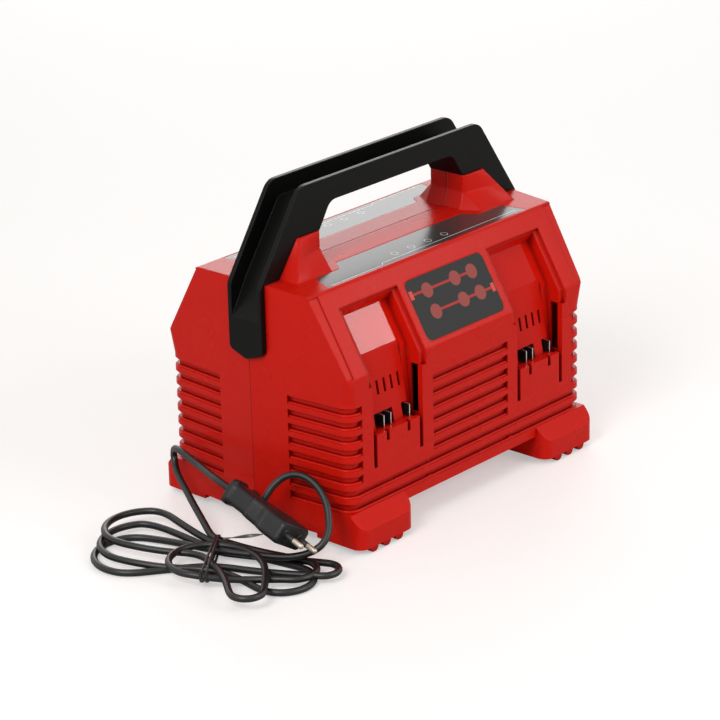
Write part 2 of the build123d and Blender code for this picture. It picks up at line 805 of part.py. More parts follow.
# ---------------------------------------------------------------- seat for the handle's leg, screw posts
seat_overlap = 0.5
seat_skin = wall - seat_overlap
leg_seat_half = handle_half_width + pocket_wall
seat_face_x = end_face_x(leg_seat_half) - seat_overlap
leg_seat_block = [
    (leg_inner_x - pocket_wall, leg_bottom - pocket_wall),
    (seat_face_x, leg_bottom - pocket_wall),
    (seat_face_x, crown_height - seat_skin),
    (leg_knee_x - pocket_wall, crown_height - seat_skin),
    (leg_knee_x - pocket_wall, leg_bend_height - pocket_wall),
    (leg_inner_x - pocket_wall, leg_seat_height - pocket_wall / 2),
]
with BuildPart() as leg_seats:
    for mirrored in (False, True):
        with BuildSketch(Plane.XZ):
            with BuildLine():
                Polyline(*[(-x if mirrored else x, z) for x, z in leg_seat_block], close=True)
            make_face()
        extrude(amount=leg_seat_half)

with BuildPart() as screw_posts:
    for post_x, post_z in housing_screw_places:
        with BuildSketch(Plane.XZ):
            with Locations((post_x, post_z)):
                Circle(post_radius)
        extrude(amount=half_depth - wall / 2)
    for side in (-1, 1):
        with Locations((side * end_post_x, 0, end_post_z)):
            Box(end_face_x(0) - end_post_x - wall / 2, post_rib_depth, post_rib,
                align=(Align.MIN if side > 0 else Align.MAX, Align.MAX, Align.CENTER))
    post_foot = floor_height - seat_overlap
    with Locations((-board_post_x, -board_post_y, post_foot), (board_post_x, -board_post_y, post_foot)):
        Cylinder(post_radius, board_height - post_foot, align=standing)
    with Locations(*[(x, -indicator_post_y, indicator_board_height + board_thickness)
                     for x in (-indicator_post_x, indicator_post_x)]):
        Cylinder(slim_post_radius, indicator_board_drop - 2 * board_thickness - wall / 2, align=standing)

# ---------------------------------------------------------------- planes of the slope and the crowned top
slope_plane = Plane(origin=(0, -half_depth, shoulder_height), x_dir=(1, 0, 0), z_dir=(0, -slope_dz, slope_dy))
top_plane = Plane(origin=(0, 0, crown_height), x_dir=(1, 0, 0), z_dir=(0, -sin(top_slant), cos(top_slant)))

with BuildPart() as front_label:
    with BuildSketch(slope_plane):
        with Locations((0, (label_low + label_high) / 2)):
            RectangleRounded(2 * label_half, label_high - label_low, label_corner)
    extrude(amount=-label_thickness)

panel_front = top_half_depth - panel_edge
step_x = seat_outer - panel_step_gap
panel_half = [
    (panel_reach, -panel_front),
    (panel_reach - panel_end_slant, -panel_step),
    (step_x, -panel_step),
    (step_x - panel_step_slant, -panel_back),
]
panel_corners = panel_half + [(-x, y) for x, y in reversed(panel_half)]
with BuildPart() as front_top_panel:
    with BuildSketch(top_plane) as panel_outline:
        with BuildLine():
            Polyline(*panel_corners, close=True)
        make_face()
        fillet(panel_outline.vertices(), panel_corner)
    extrude(amount=-panel_thickness)

with BuildPart() as slope_borders:
    with BuildSketch(slope_plane):
        for side in (-1, 1):
            with Locations((side * (border_inner + border_width / 2), slope_length / 2)):
                Rectangle(border_width, slope_length - crease_radius)
    extrude(amount=-border_step)

with BuildPart() as light_holes:
    with BuildSketch(Plane.XY.offset(indicator_board_height + board_thickness + light_stem)):
        with Locations(*[(x, light_row_y) for x in light_positions]):
            Circle(light_radius)
    extrude(amount=crown_height - indicator_board_height)

# ---------------------------------------------------------------- half housing, put together
with BuildPart() as half_housing:
    add(outer_form.part)
    with Locations((0, 0, skirt_height)):
        Box(2 * foot_inner, body_depth, arch_height - skirt_height,
            align=(Align.CENTER, Align.MAX, Align.MIN), mode=Mode.SUBTRACT)
    add(foot.part)
    add(mirror(foot.part, about=Plane.YZ, mode=Mode.PRIVATE))
    add(grooves.part, mode=Mode.SUBTRACT)
    add(cavity.part, mode=Mode.SUBTRACT)
    for side in (-1, 1):
        foot_middle = side * (foot_inner + foot_outer) / 2
        with Locations((foot_middle, -half_depth + grooved_wall, foot_base + floor_thickness)):
            Box(foot_length - 4 * floor_thickness, foot_hollow, foot_hollow_height,
                align=(Align.CENTER, Align.MAX, Align.MIN), mode=Mode.SUBTRACT)
    add(screw_posts.part)
    add(leg_seats.part)
    add(at_ports(port_block) + at_ports(port_rim_block))
    add(pylon.part)
    add(mirror(pylon.part, about=Plane.YZ, mode=Mode.PRIVATE))
    add(pylon_hollow.part, mode=Mode.SUBTRACT)
    add(mirror(pylon_hollow.part, about=Plane.YZ, mode=Mode.PRIVATE), mode=Mode.SUBTRACT)
    add(at_ports(port_rim) + at_ports(port_channel), mode=Mode.SUBTRACT)
    add(at_ports(tongue.part))
    add(at_ports(pad_clearance) + at_ports(port_cuts.part), mode=Mode.SUBTRACT)
    add([front_label.part, front_top_panel.part, slope_borders.part, light_holes.part], mode=Mode.SUBTRACT)
    add(handle_envelope.part, mode=Mode.SUBTRACT)
    split(bisect_by=Plane.XZ, keep=Keep.TOP)

# ---------------------------------------------------------------- front and rear housing
gland_hole = Plane(origin=(-half_length - relief_collar, 0, exit_height), z_dir=(1, 0, 0))


def screw_holes(side):
    """Holes for the handle and board screws of one half, cut from the part that is being built."""
    with Locations(*[(x, side * handle_screw_y, boss_height) for x in (-handle_screw_x, handle_screw_x)]):
        Cylinder(handle_screw_radius + screw_play, 3 * pylon_roof, mode=Mode.SUBTRACT)
    with Locations(
        *[(x, side * board_post_y, board_height) for x in (-board_post_x, board_post_x)],
        (-indicator_post_x, side * indicator_post_y, indicator_board_height),
        (indicator_post_x, side * indicator_post_y, indicator_board_height),
    ):
        Cylinder(board_screw_radius, 2 * board_screw_length, mode=Mode.SUBTRACT)


with BuildPart() as front_housing:
    add(half_housing.part)
    for post_x, post_z in housing_screw_places:
        with BuildSketch(Plane.XZ):
            with Locations((post_x, post_z)):
                Circle(housing_screw_radius)
        extrude(amount=pilot_depth, mode=Mode.SUBTRACT)
    with BuildSketch(gland_hole):
        Circle(relief_neck)
    extrude(amount=relief_collar + 2 * grooved_wall, mode=Mode.SUBTRACT)
    screw_holes(-1)
write_part(front_housing, "front_housing")

with BuildPart() as rear_housing:
    add(half_housing.part.rotate(Axis.Z, 180))
    for post_x, post_z in housing_screw_places:
        with BuildSketch(Plane.XZ):
            with Locations((post_x, post_z)):
                Circle(housing_screw_radius + screw_play)
        extrude(amount=-half_depth, mode=Mode.SUBTRACT)
        with BuildSketch(Plane.XZ.offset(-screw_seat)):
            with Locations((post_x, post_z)):
                Circle(counterbore_radius)
        extrude(amount=-half_depth, mode=Mode.SUBTRACT)
    with BuildSketch(gland_hole):
        Circle(relief_neck)
    extrude(amount=relief_collar + 2 * grooved_wall, mode=Mode.SUBTRACT)
    screw_holes(1)
write_part(rear_housing, "rear_housing")

# ---------------------------------------------------------------- handle, labels, top panels
with BuildPart() as finished_handle:
    add(carry_handle.part)
    with Locations(*[(x, y, boss_height) for x, y in handle_screw_places]):
        Cylinder(handle_screw_radius, handle_screw_length - pylon_roof + screw_stop,
                 align=standing, mode=Mode.SUBTRACT)
write_part(finished_handle, "carry_handle")
write_part(front_label, "front_label")
write_part(front_top_panel, "front_top_panel")
with BuildPart() as rear_label:
    add(front_label.part.rotate(Axis.Z, 180))
write_part(rear_label, "rear_label")
with BuildPart() as rear_top_panel:
    add(front_top_panel.part.rotate(Axis.Z, 180))
write_part(rear_top_panel, "rear_top_panel")

# ---------------------------------------------------------------- contacts, one set in each port
with BuildPart() as contact_blades:
    for blade_x in contact_positions:
        with Locations((blade_x, -half_depth + contact_front, contact_bottom)):
            Box(contact_thickness, holder_front - contact_front + holder_depth / 2, contact_height,
                align=(Align.CENTER, Align.MIN, Align.MIN))

with BuildPart() as contact_holder:
    with Locations((0, -half_depth + holder_front, holder_bottom)):
        Box(2 * holder_half, holder_depth, holder_height, align=(Align.CENTER, Align.MIN, Align.MIN))
    add(contact_blades.part, mode=Mode.SUBTRACT)

holder_back = -half_depth + holder_front + holder_depth
port_turns = ((-1, 0), (1, 0), (-1, 180), (1, 180))
for number, (side, turn) in enumerate(port_turns, start=1):
    with BuildPart() as port_holder:
        add(contact_holder.part.moved(Location((side * port_x, 0, 0))).rotate(Axis.Z, turn))
    write_part(port_holder, f"contact_holder_{number}")
    with BuildPart() as port_blades:
        add(contact_blades.part.moved(Location((side * port_x, 0, 0))).rotate(Axis.Z, turn))
    write_part(port_blades, f"contact_blades_{number}")
    with BuildPart() as port_wires:
        with BuildLine() as wire_path:
            FilletPolyline(
                (side * connector_x, -connector_y, board_top + connector_height),
                (side * connector_x, -connector_y, board_top + connector_height + wire_rise),
                (side * port_x, holder_back + wire_run, plate_height + wire_end_rise),
                (side * port_x, holder_back, plate_height + wire_end_rise),
                radius=list(wire_bends),
            )
        with BuildSketch(Plane(wire_path.line @ 0, z_dir=wire_path.line % 0)):
            Circle(wire_bundle / 2)
        sweep(path=wire_path.line)
    with BuildPart() as turned_wires:
        add(port_wires.part.rotate(Axis.Z, turn))
    write_part(turned_wires, f"port_wires_{number}")

# ---------------------------------------------------------------- power board and what stands on it
with BuildPart() as power_board:
    with Locations((0, 0, board_height)):
        Box(board_length, board_width, board_thickness, align=(Align.CENTER, Align.CENTER, Align.MIN))
    with Locations(*[(x, y, board_height) for x, y in board_post_places]):
        Cylinder(board_screw_radius, 4 * board_thickness, mode=Mode.SUBTRACT)
write_part(power_board, "power_board")


def on_board(x, y):
    """A place on the upper face of the power board."""
    return Locations((x, y, board_top))


with BuildPart() as transformer_core:
    with on_board(core_x, 0):
        Box(core_width, core_depth, core_height, align=standing)
        window_rise = (core_height - core_window_height) / 2
        with Locations((-core_window_x, 0, window_rise), (core_window_x, 0, window_rise)):
            Box(core_window, core_depth, core_window_height, align=standing, mode=Mode.SUBTRACT)
write_part(transformer_core, "transformer_core")

with BuildPart() as transformer_winding:
    with Locations((core_x, 0, board_top + core_height / 2)):
        Box(2 * core_window_x + core_window - 2 * winding_play, core_depth + 2 * winding_overhang,
            core_window_height - 2 * winding_play)
        fillet(transformer_winding.edges().filter_by(Axis.Z), winding_corner)
        Box(2 * core_window_x - core_window, core_depth, core_height, mode=Mode.SUBTRACT)
write_part(transformer_winding, "transformer_winding")

with BuildPart() as bulk_capacitors:
    with Locations((capacitor_x, -capacitor_y, board_top), (capacitor_x, capacitor_y, board_top)):
        Cylinder(capacitor_radius, capacitor_height, align=standing)
    fillet(bulk_capacitors.edges().group_by(Axis.Z)[-1], capacitor_edge)
write_part(bulk_capacitors, "bulk_capacitors")

with BuildPart() as line_choke:
    with Locations((choke_x, 0, board_top + choke_section)):
        Torus(choke_radius, choke_section)
write_part(line_choke, "line_choke")

with BuildPart() as fuse_holder:
    with on_board(fuse_x, fuse_y):
        Box(*fuse_base, align=standing)
        with Locations((-fuse_clip_x, 0, fuse_base[2]), (fuse_clip_x, 0, fuse_base[2])):
            Box(*fuse_clip, align=standing)
    with Locations((fuse_x, fuse_y, board_top + fuse_base[2] + fuse_clip[2] / 2)):
        Cylinder(fuse_radius, fuse_length, rotation=(0, 90, 0))
write_part(fuse_holder, "fuse_holder")

with BuildPart() as heat_sink:
    with on_board(sink_x, sink_y):
        Box(sink_width, sink_depth, sink_height, align=standing)
    with Locations((sink_x, sink_y + sink_web / 2, board_top)):
        with GridLocations(sink_width / sink_slots, 1, sink_slots, 1):
            Box(sink_width / sink_slots / 2, sink_depth - sink_web, sink_height,
                align=standing, mode=Mode.SUBTRACT)
write_part(heat_sink, "heat_sink")

transistor_width, transistor_depth, transistor_height = transistor_size
with BuildPart() as power_transistors:
    with Locations((sink_x, sink_y - sink_depth / 2 - transistor_depth / 2, board_top)):
        with GridLocations(sink_width / transistor_count, 1, transistor_count, 1):
            Box(*transistor_legs, align=standing)
            with Locations((0, 0, transistor_legs[2])):
                Box(transistor_width, transistor_depth, transistor_height, align=standing)
write_part(power_transistors, "power_transistors")

with BuildPart() as output_connectors:
    with on_board(0, 0):
        with GridLocations(2 * connector_x, 2 * connector_y, 2, 2):
            Box(connector_width, connector_depth, connector_height, align=standing)
write_part(output_connectors, "output_connectors")

with BuildPart() as mains_terminal:
    with Locations((terminal_x, 0, board_top)):
        Box(terminal_length, terminal_width, terminal_height, align=standing)
    chamfer(mains_terminal.edges().group_by(Axis.Z)[-1].filter_by(Axis.Y), terminal_edge)
write_part(mains_terminal, "mains_terminal")


# ---------------------------------------------------------------- indicator boards and their lights
with BuildPart() as front_indicator_board:
    with Locations((0, (light_row_y - indicator_post_y) / 2, indicator_board_height)):
        Box(indicator_length, indicator_width, board_thickness, align=standing)
    with Locations(
        (-indicator_post_x, -indicator_post_y, indicator_board_height),
        (indicator_post_x, -indicator_post_y, indicator_board_height),
    ):
        Cylinder(board_screw_radius, 4 * board_thickness, mode=Mode.SUBTRACT)
write_part(front_indicator_board, "front_indicator_board")
with BuildPart() as rear_indicator_board:
    add(front_indicator_board.part.rotate(Axis.Z, 180))
write_part(rear_indicator_board, "rear_indicator_board")

with BuildPart() as front_lights:
    with Locations(*[(x, light_row_y, indicator_board_height + board_thickness) for x in light_positions]):
        Cylinder(light_radius - light_play, indicator_board_drop, align=standing)
    with BuildSketch(top_plane.offset(-panel_thickness)):
        Rectangle(length, body_depth)
    extrude(amount=indicator_board_drop, mode=Mode.SUBTRACT)
write_part(front_lights, "front_lights")
with BuildPart() as rear_lights:
    add(front_lights.part.rotate(Axis.Z, 180))
write_part(rear_lights, "rear_lights")


# ---------------------------------------------------------------- screws
def screw(radius, length, head_radius, head_height):
    """A pan-head screw along Z with its seat at the origin and its shank below."""
    with BuildPart() as body:
        Cylinder(radius, length, align=(Align.CENTER, Align.CENTER, Align.MAX))
        Cylinder(head_radius, head_height, align=standing)
        fillet(body.edges().group_by(Axis.Z)[-1], head_height / 3)
        with Locations((0, 0, head_height)):
            Box(recess_share * head_radius, recess_width, head_height, mode=Mode.SUBTRACT)
            Box(recess_width, recess_share * head_radius, head_height, mode=Mode.SUBTRACT)
    return body.part


housing_screw_length = screw_seat + pilot_depth - screw_stop
board_screw = screw(board_screw_radius, board_screw_length, 2 * board_screw_radius, 1.8)
housing_screw = screw(housing_screw_radius, housing_screw_length, counterbore_radius - screw_play, 2.4)
handle_screw = screw(handle_screw_radius, handle_screw_length, 2 * handle_screw_radius, 2.6)

with BuildPart() as board_screws:
    add([board_screw.moved(Location((x, y, board_top))) for x, y in board_post_places])
    add([board_screw.moved(Location((x, y, indicator_board_height), (180, 0, 0)))
         for x in (-indicator_post_x, indicator_post_x) for y in (-indicator_post_y, indicator_post_y)])
write_part(board_screws, "board_screws")
with BuildPart() as housing_screws:
    add([housing_screw.moved(Location((x, screw_seat, z), (-90, 0, 0))) for x, z in housing_screw_places])
write_part(housing_screws, "housing_screws")
with BuildPart() as handle_screws:
    add([handle_screw.moved(Location((x, y, boss_height - pylon_roof), (180, 0, 0)))
         for x, y in handle_screw_places])
write_part(handle_screws, "handle_screws")

# ---------------------------------------------------------------- strain relief, clamp and mains wires
relief_start = -half_length - relief_collar
flange_radius = relief_neck + relief_flange_lip
flange_x = relief_flange + grooved_wall - end_face_x(flange_radius) + relief_play
bend_run = relief_bend * sin(radians(relief_turn))
bend_side = relief_bend * (1 - cos(radians(relief_turn)))
relief_end = (relief_start - bend_run, -bend_side, exit_height)
with BuildLine() as relief_axis:
    RadiusArc((relief_start, 0, exit_height), relief_end, -relief_bend)
relief_path = relief_axis.line
relief_tip_point = relief_path @ 1
relief_tip_way = relief_path % 1
with BuildPart() as strain_relief:
    for part_way in (0, 0.25, 0.5, 0.75, 1):
        with BuildSketch(Plane(relief_path @ part_way, z_dir=relief_path % part_way)):
            Circle((relief_root + part_way * (relief_tip - relief_root)) / 2)
    loft()
    with BuildSketch(Plane(origin=(flange_x, 0, exit_height), z_dir=(-1, 0, 0))):
        Circle(flange_radius)
    extrude(amount=relief_flange)
    with BuildSketch(Plane(origin=(flange_x, 0, exit_height), z_dir=(-1, 0, 0))):
        Circle(relief_neck)
    extrude(amount=half_length + flange_x)
    with BuildSketch(Plane(origin=(-half_length, 0, exit_height), z_dir=(-1, 0, 0))):
        Circle(relief_neck + relief_lip)
    extrude(amount=relief_collar)
write_part(strain_relief, "strain_relief")

jacket_end = flange_x + inner_jacket
terminal_face = terminal_x - terminal_length / 2
with BuildPart() as mains_wires:
    with BuildSketch(Plane(origin=(flange_x, 0, exit_height), z_dir=(1, 0, 0))):
        Circle(cord_diameter / 2)
    extrude(amount=inner_jacket)
    for side in (-1, 1):
        with BuildLine() as core_path:
            FilletPolyline(
                (jacket_end, side * core_spread, exit_height),
                (jacket_end + core_straight, side * core_spread, exit_height),
                (terminal_face - core_straight, side * core_reach, board_top + terminal_height / 2),
                (terminal_face, side * core_reach, board_top + terminal_height / 2),
                radius=[core_bend, core_bend],
            )
        with BuildSketch(Plane(core_path.line @ 0, z_dir=core_path.line % 0)):
            Circle(core_radius)
        sweep(path=core_path.line)
write_part(mains_wires, "mains_wires")

with BuildPart() as cord_clamp:
    with Locations((flange_x + inner_jacket / 2, 0, end_floor)):
        Box(clamp_length, clamp_width, exit_height + cord_diameter + clamp_roof - end_floor, align=standing)
    fillet(cord_clamp.edges().filter_by(Axis.X).group_by(Axis.Z)[-1], clamp_corner)
    add(mains_wires.part, mode=Mode.SUBTRACT)
write_part(cord_clamp, "cord_clamp")

# ---------------------------------------------------------------- plug
plug_axis = Vector(*plug_heading).normalized()
plug_side = (Vector(*plug_lean) - plug_axis * Vector(*plug_lean).dot(plug_axis)).normalized()
plug_rear = Vector(*plug_rear_point)
plug_plane = Plane(origin=plug_rear, x_dir=plug_side, z_dir=plug_axis)

with BuildPart() as plug_body:
    for along, width, thickness, corner in plug_sections:
        with BuildSketch(plug_plane.offset(along)):
            RectangleRounded(width, thickness, corner)
    loft(ruled=True)
write_part(plug_body, "plug_body")

with BuildPart() as plug_pins:
    with BuildSketch(plug_plane.offset(plug_length)):
        with Locations((-pin_spacing / 2, 0), (pin_spacing / 2, 0)):
            Circle(pin_diameter / 2)
    extrude(amount=pin_length)
    tip_edges = plug_pins.edges().filter_by(GeomType.CIRCLE).filter_by(
        lambda edge: (edge.center() - plug_rear).dot(plug_axis) > plug_length + pin_length / 2)
    fillet(tip_edges, pin_tip_radius)
write_part(plug_pins, "plug_pins")

# ---------------------------------------------------------------- hank and tie
run_way = Vector(cos(radians(tie_angle)), sin(radians(tie_angle)), 0)
tie_plane = Plane(origin=(tie_x, tie_y, 0), x_dir=run_way, z_dir=(0, 0, 1))
fall_start = Vector(tie_x, tie_y, hank_height) + hank_level_run * run_way
fall_plane = Plane(fall_start, x_dir=run_way, z_dir=(0, 0, 1))

with BuildPart() as cord_hank:
    with BuildSketch() as hank_outline:
        with BuildLine():
            Polyline(*hank_points, close=True)
        make_face()
        fillet(hank_outline.vertices(), hank_corner)
    extrude(amount=hank_height)
    fillet(cord_hank.edges().group_by(Axis.Z)[-1], hank_edge)
    with BuildSketch(fall_plane.rotated((0, hank_fall, 0))):
        Rectangle(length, length, align=(Align.MIN, Align.CENTER))
    extrude(amount=hank_height, mode=Mode.SUBTRACT)
write_part(cord_hank, "cord_hank")

with BuildPart() as cord_tie:
    with BuildSketch(tie_plane):
        Rectangle(tie_width, tie_span)
    extrude(amount=hank_height + tie_thickness)
    tie_top = cord_tie.edges().group_by(Axis.Z)[-1]
    fillet(tie_top.sort_by(Axis((tie_x, tie_y, 0), tuple(tie_plane.y_dir)))[0], tie_corner)
    add(cord_hank.part, mode=Mode.SUBTRACT)
write_part(cord_tie, "cord_tie")


# ---------------------------------------------------------------- the free cord
def cord_tube(points):
    """A round cord along straight runs joined by arcs as large as the runs allow."""
    corners = [Vector(*point) for point in points]
    runs = [after - before for before, after in zip(corners, corners[1:])]
    radii = []
    for run, following in zip(runs, runs[1:]):
        half_turn = radians(run.get_angle(following)) / 2
        radii.append(0.45 * min(run.length, following.length) / tan(half_turn))
    with BuildLine():
        route = FilletPolyline(*points, radius=radii)
    with BuildPart() as tube:
        with BuildSketch(Plane(route @ 0, z_dir=route % 0)):
            Circle(cord_diameter / 2)
        sweep(path=route)
    share = tube.part.volume / (pi * cord_diameter ** 2 / 4) / route.length
    print("cord: length", round(route.length, 1), "volume share", round(share, 4),
          "radii", [round(radius, 1) for radius in radii])
    return tube.part


exit_lead = relief_tip_point + cord_lead * relief_tip_way
exit_tube = cord_tube([tuple(relief_tip_point), tuple(exit_lead)] + exit_points)
with BuildPart() as exit_cord:
    add(exit_tube)
    add(cord_hank.part, mode=Mode.SUBTRACT)
write_part(exit_cord, "exit_cord")
plug_lead = plug_rear - cord_lead * plug_axis
plug_tube = cord_tube(plug_points + [tuple(plug_lead), plug_rear_point])
with BuildPart() as plug_cord:
    add(plug_tube)
    add(cord_hank.part, mode=Mode.SUBTRACT)
write_part(plug_cord, "plug_cord")
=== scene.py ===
import math

import bpy
import numpy as np
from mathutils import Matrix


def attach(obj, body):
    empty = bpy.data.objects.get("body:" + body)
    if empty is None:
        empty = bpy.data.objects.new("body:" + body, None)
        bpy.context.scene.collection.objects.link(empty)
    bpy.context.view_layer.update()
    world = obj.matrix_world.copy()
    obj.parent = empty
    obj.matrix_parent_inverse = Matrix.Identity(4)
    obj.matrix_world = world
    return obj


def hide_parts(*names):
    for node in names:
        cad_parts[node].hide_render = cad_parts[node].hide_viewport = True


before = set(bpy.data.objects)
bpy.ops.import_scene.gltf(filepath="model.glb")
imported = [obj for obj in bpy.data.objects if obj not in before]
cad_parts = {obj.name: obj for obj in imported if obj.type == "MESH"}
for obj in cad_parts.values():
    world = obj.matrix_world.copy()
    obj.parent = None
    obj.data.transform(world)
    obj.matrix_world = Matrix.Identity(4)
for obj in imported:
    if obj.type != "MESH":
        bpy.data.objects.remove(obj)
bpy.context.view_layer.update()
scene = bpy.context.scene

# ---- Camera ------------------------------------------------------------------------------------
# A long lens stands left of the front, a little above the charger, and looks down on it by 21 degrees,
# so that one long side, the left end and the top show.
lens_azimuth, lens_elevation, lens_roll = -0.838198639, 0.367930585, -0.0245514277
lens_distance = 2.43142299
lens_target = np.array([-0.0242891199, 0.0, 0.100550321])
sensor_width, focal_pixels, frame_pixels = 36.0, 3037.57201, 720

lens_back = np.array([math.sin(lens_azimuth) * math.cos(lens_elevation),
                      -math.cos(lens_azimuth) * math.cos(lens_elevation), math.sin(lens_elevation)])
level_right = np.cross(-lens_back, (0, 0, 1))
level_right /= np.linalg.norm(level_right)
level_up = np.cross(level_right, -lens_back)
lens_right = level_right * math.cos(lens_roll) + level_up * math.sin(lens_roll)
lens_up = -level_right * math.sin(lens_roll) + level_up * math.cos(lens_roll)
lens_place = np.eye(4)
lens_place[:3, :3] = np.stack([lens_right, lens_up, lens_back], axis=1)
lens_place[:3, 3] = lens_target + lens_back * lens_distance

camera = bpy.data.objects.new("camera", bpy.data.cameras.new("camera"))
camera.data.sensor_width = sensor_width
camera.data.lens = focal_pixels * sensor_width / frame_pixels
camera.data.clip_end = 30.0
camera.matrix_world = lens_place.T.tolist()
scene.collection.objects.link(camera)
scene.camera = camera

# ---- Mains lead --------------------------------------------------------------------------------
# A round black PVC lead, 5.6 mm thick and limp. It leaves the boot in the left end, stands up in one arch,
# goes four times round a flat hank drawn together at its middle, and climbs in a second arch to the plug.
lead_diameter = 0.0056
hank_origin = np.array([-227.5, -27.0])       # mm: where the tie holds the turns
hank_run = np.array([0.574, -0.819])
hank_across = np.array([0.819, 0.574])

arch_from_boot = [(-171.835, -7.941, 24), (-180.534, -17.602, 24), (-182.5, -29, 29), (-178, -35, 40),
                  (-170, -38, 51), (-162, -45, 59), (-157, -57, 61), (-156, -71, 56), (-159, -83, 47),
                  (-165, -91, 37), (-172, -97, 28), (-181, -97, 20), (-190, -88, 14), (-198, -75, 11)]
arch_to_plug = [(-199, 2, 8), (-191, 18, 13), (-182, 37, 19), (-173, 54, 24), (-166, 68, 28),
                (-160, 78, 33), (-156, 83, 41), (-160, 78, 49), (-166, 66, 52), (-170, 51, 50),
                (-175, 34, 49), (-183, 16, 50), (-190.96, -3.469, 51.302), (-192, -16, 48)]


bight_steps = np.array([-1, -0.6, -0.2, 0.2, 0.6, 1])
curve_share = 0.95            # a curve of order 3 runs about this far out towards its control points


def bight(centre_u, centre_v, radius, toward, spread, height):
    """The round end of half a turn: six points at equal angles from `spread` degrees before to `spread` after
    the way it points, on a circle about its centre, point = centre + radius * (cos, sin) / curve share."""
    angle = np.radians(toward + spread * bight_steps)
    reach = radius / curve_share
    return np.column_stack([centre_u + reach * np.cos(angle), centre_v + reach * np.sin(angle),
                            np.full(len(angle), height)])


# four turns, as eight bights by turns on the left and on the right of the tie: centre along and across,
# radius, way it points, half its angle, height; then the points (along, across, height) on to the next
hank_bights = [
    ((-60, 12, 33, 185, 80, 2.9), [(-36, -14, 2.9), (0, -3, 2.9), (38, -16, 4.5)]),
    ((87, -13, 11.5, -10, 100, 6.6), [(50, 8, 4.5), (18, 17, 2.9), (0, 21, 2.9), (-18, 34, 5)]),
    ((-56, 27, 35, 178, 83, 6.8), [(-34, -14, 5), (0, -10, 2.9), (24, -24, 2.9)]),
    ((57, -24, 24, -20, 100, 2.9), [(30, 15, 3), (10, 24, 3.5), (-10, 36, 6), (-32, 56, 9)]),
    ((-59, 45, 32, 163, 85, 10.8), [(-38, 6, 9), (-10, 4, 9), (6, -18, 9), (17, -44, 10.9)]),
    ((36, -64, 12.5, -75, 95, 10.9), [(46, -32, 10.9), (40, -8, 10.9), (25, 10, 10.9), (6, 17, 10.9)]),
    ((-4, -11, 27, 186, 82, 10.9), [(14, -36, 7), (38, -31, 5)]),
    ((64, -15, 18, -12, 100, 6.8), [(34, 15, 7), (12, 24, 8.4), (-1, 33, 8)]),
]
turn_points = [[(28, 4, 9.5), (0, 12, 8.6), (-18, 24, 6), (-42, 38, 3.5)]]
for end, onward in hank_bights:
    turn_points += [bight(*end), onward]
turn_points = np.concatenate([np.asarray(p, float) for p in turn_points])
turns_flat = hank_origin + turn_points[:, :1] * hank_run + turn_points[:, 1:2] * hank_across
turns = np.column_stack([turns_flat, turn_points[:, 2]])
lead_route = np.concatenate([arch_from_boot, turns, arch_to_plug]) / 1000


def lead_curve(name, route, diameter):
    """A round cord as a tube: one open NURBS spline of order 3, with the route as its control points."""
    curve = bpy.data.curves.new(name, "CURVE")
    curve.dimensions = "3D"
    spline = curve.splines.new("NURBS")
    spline.points.add(len(route) - 1)
    spline.points.foreach_set("co", np.column_stack([route, np.ones(len(route))]).ravel())
    spline.order_u = 3
    spline.use_endpoint_u = True
    spline.resolution_u = 8
    spline.use_smooth = True
    curve.bevel_depth = diameter / 2
    curve.bevel_resolution = 4
    curve.use_fill_caps = True
    piece = bpy.data.objects.new(name, curve)
    scene.collection.objects.link(piece)
    return piece


def calc(tree, operation, *values):
    """One Math node. Each value is a number or another node's socket; the result is its output socket."""
    node = tree.nodes.new("ShaderNodeMath")
    node.operation = operation
    for socket, value in zip(node.inputs, values):
        if isinstance(value, (int, float)):
            socket.default_value = value
        else:
            tree.links.new(value, socket)
    return node.outputs[0]


def between_colours(tree, share, first, second):
    """One colour mix: first where share is 0, second where it is 1; each is three numbers or a socket."""
    node = tree.nodes.new("ShaderNodeMix")
    node.data_type = "RGBA"
    tree.links.new(share, node.inputs[0])
    for socket, value in ((node.inputs[6], first), (node.inputs[7], second)):
        if isinstance(value, tuple):
            socket.default_value = (*value, 1)
        else:
            tree.links.new(value, socket)
    return node.outputs[2]


def object_axes(tree, output="Object"):
    """The X, Y and Z sockets of a point in metres or, with output "Normal", of the way its face looks."""
    place = tree.nodes.new("ShaderNodeTexCoord")
    split = tree.nodes.new("ShaderNodeSeparateXYZ")
    tree.links.new(place.outputs[output], split.inputs[0])
    return split.outputs["X"], split.outputs["Y"], split.outputs["Z"]


def print_over(tree, share, colour):
    """Lays one more colour over the base colour, where share is 1."""
    base = tree.nodes["Principled BSDF"].inputs["Base Color"]
    tree.links.new(between_colours(tree, share, base.links[0].from_socket, colour), base)


grain_strength, edge_samples = 0.5, 6
slow_detail, fast_detail = 4, 2


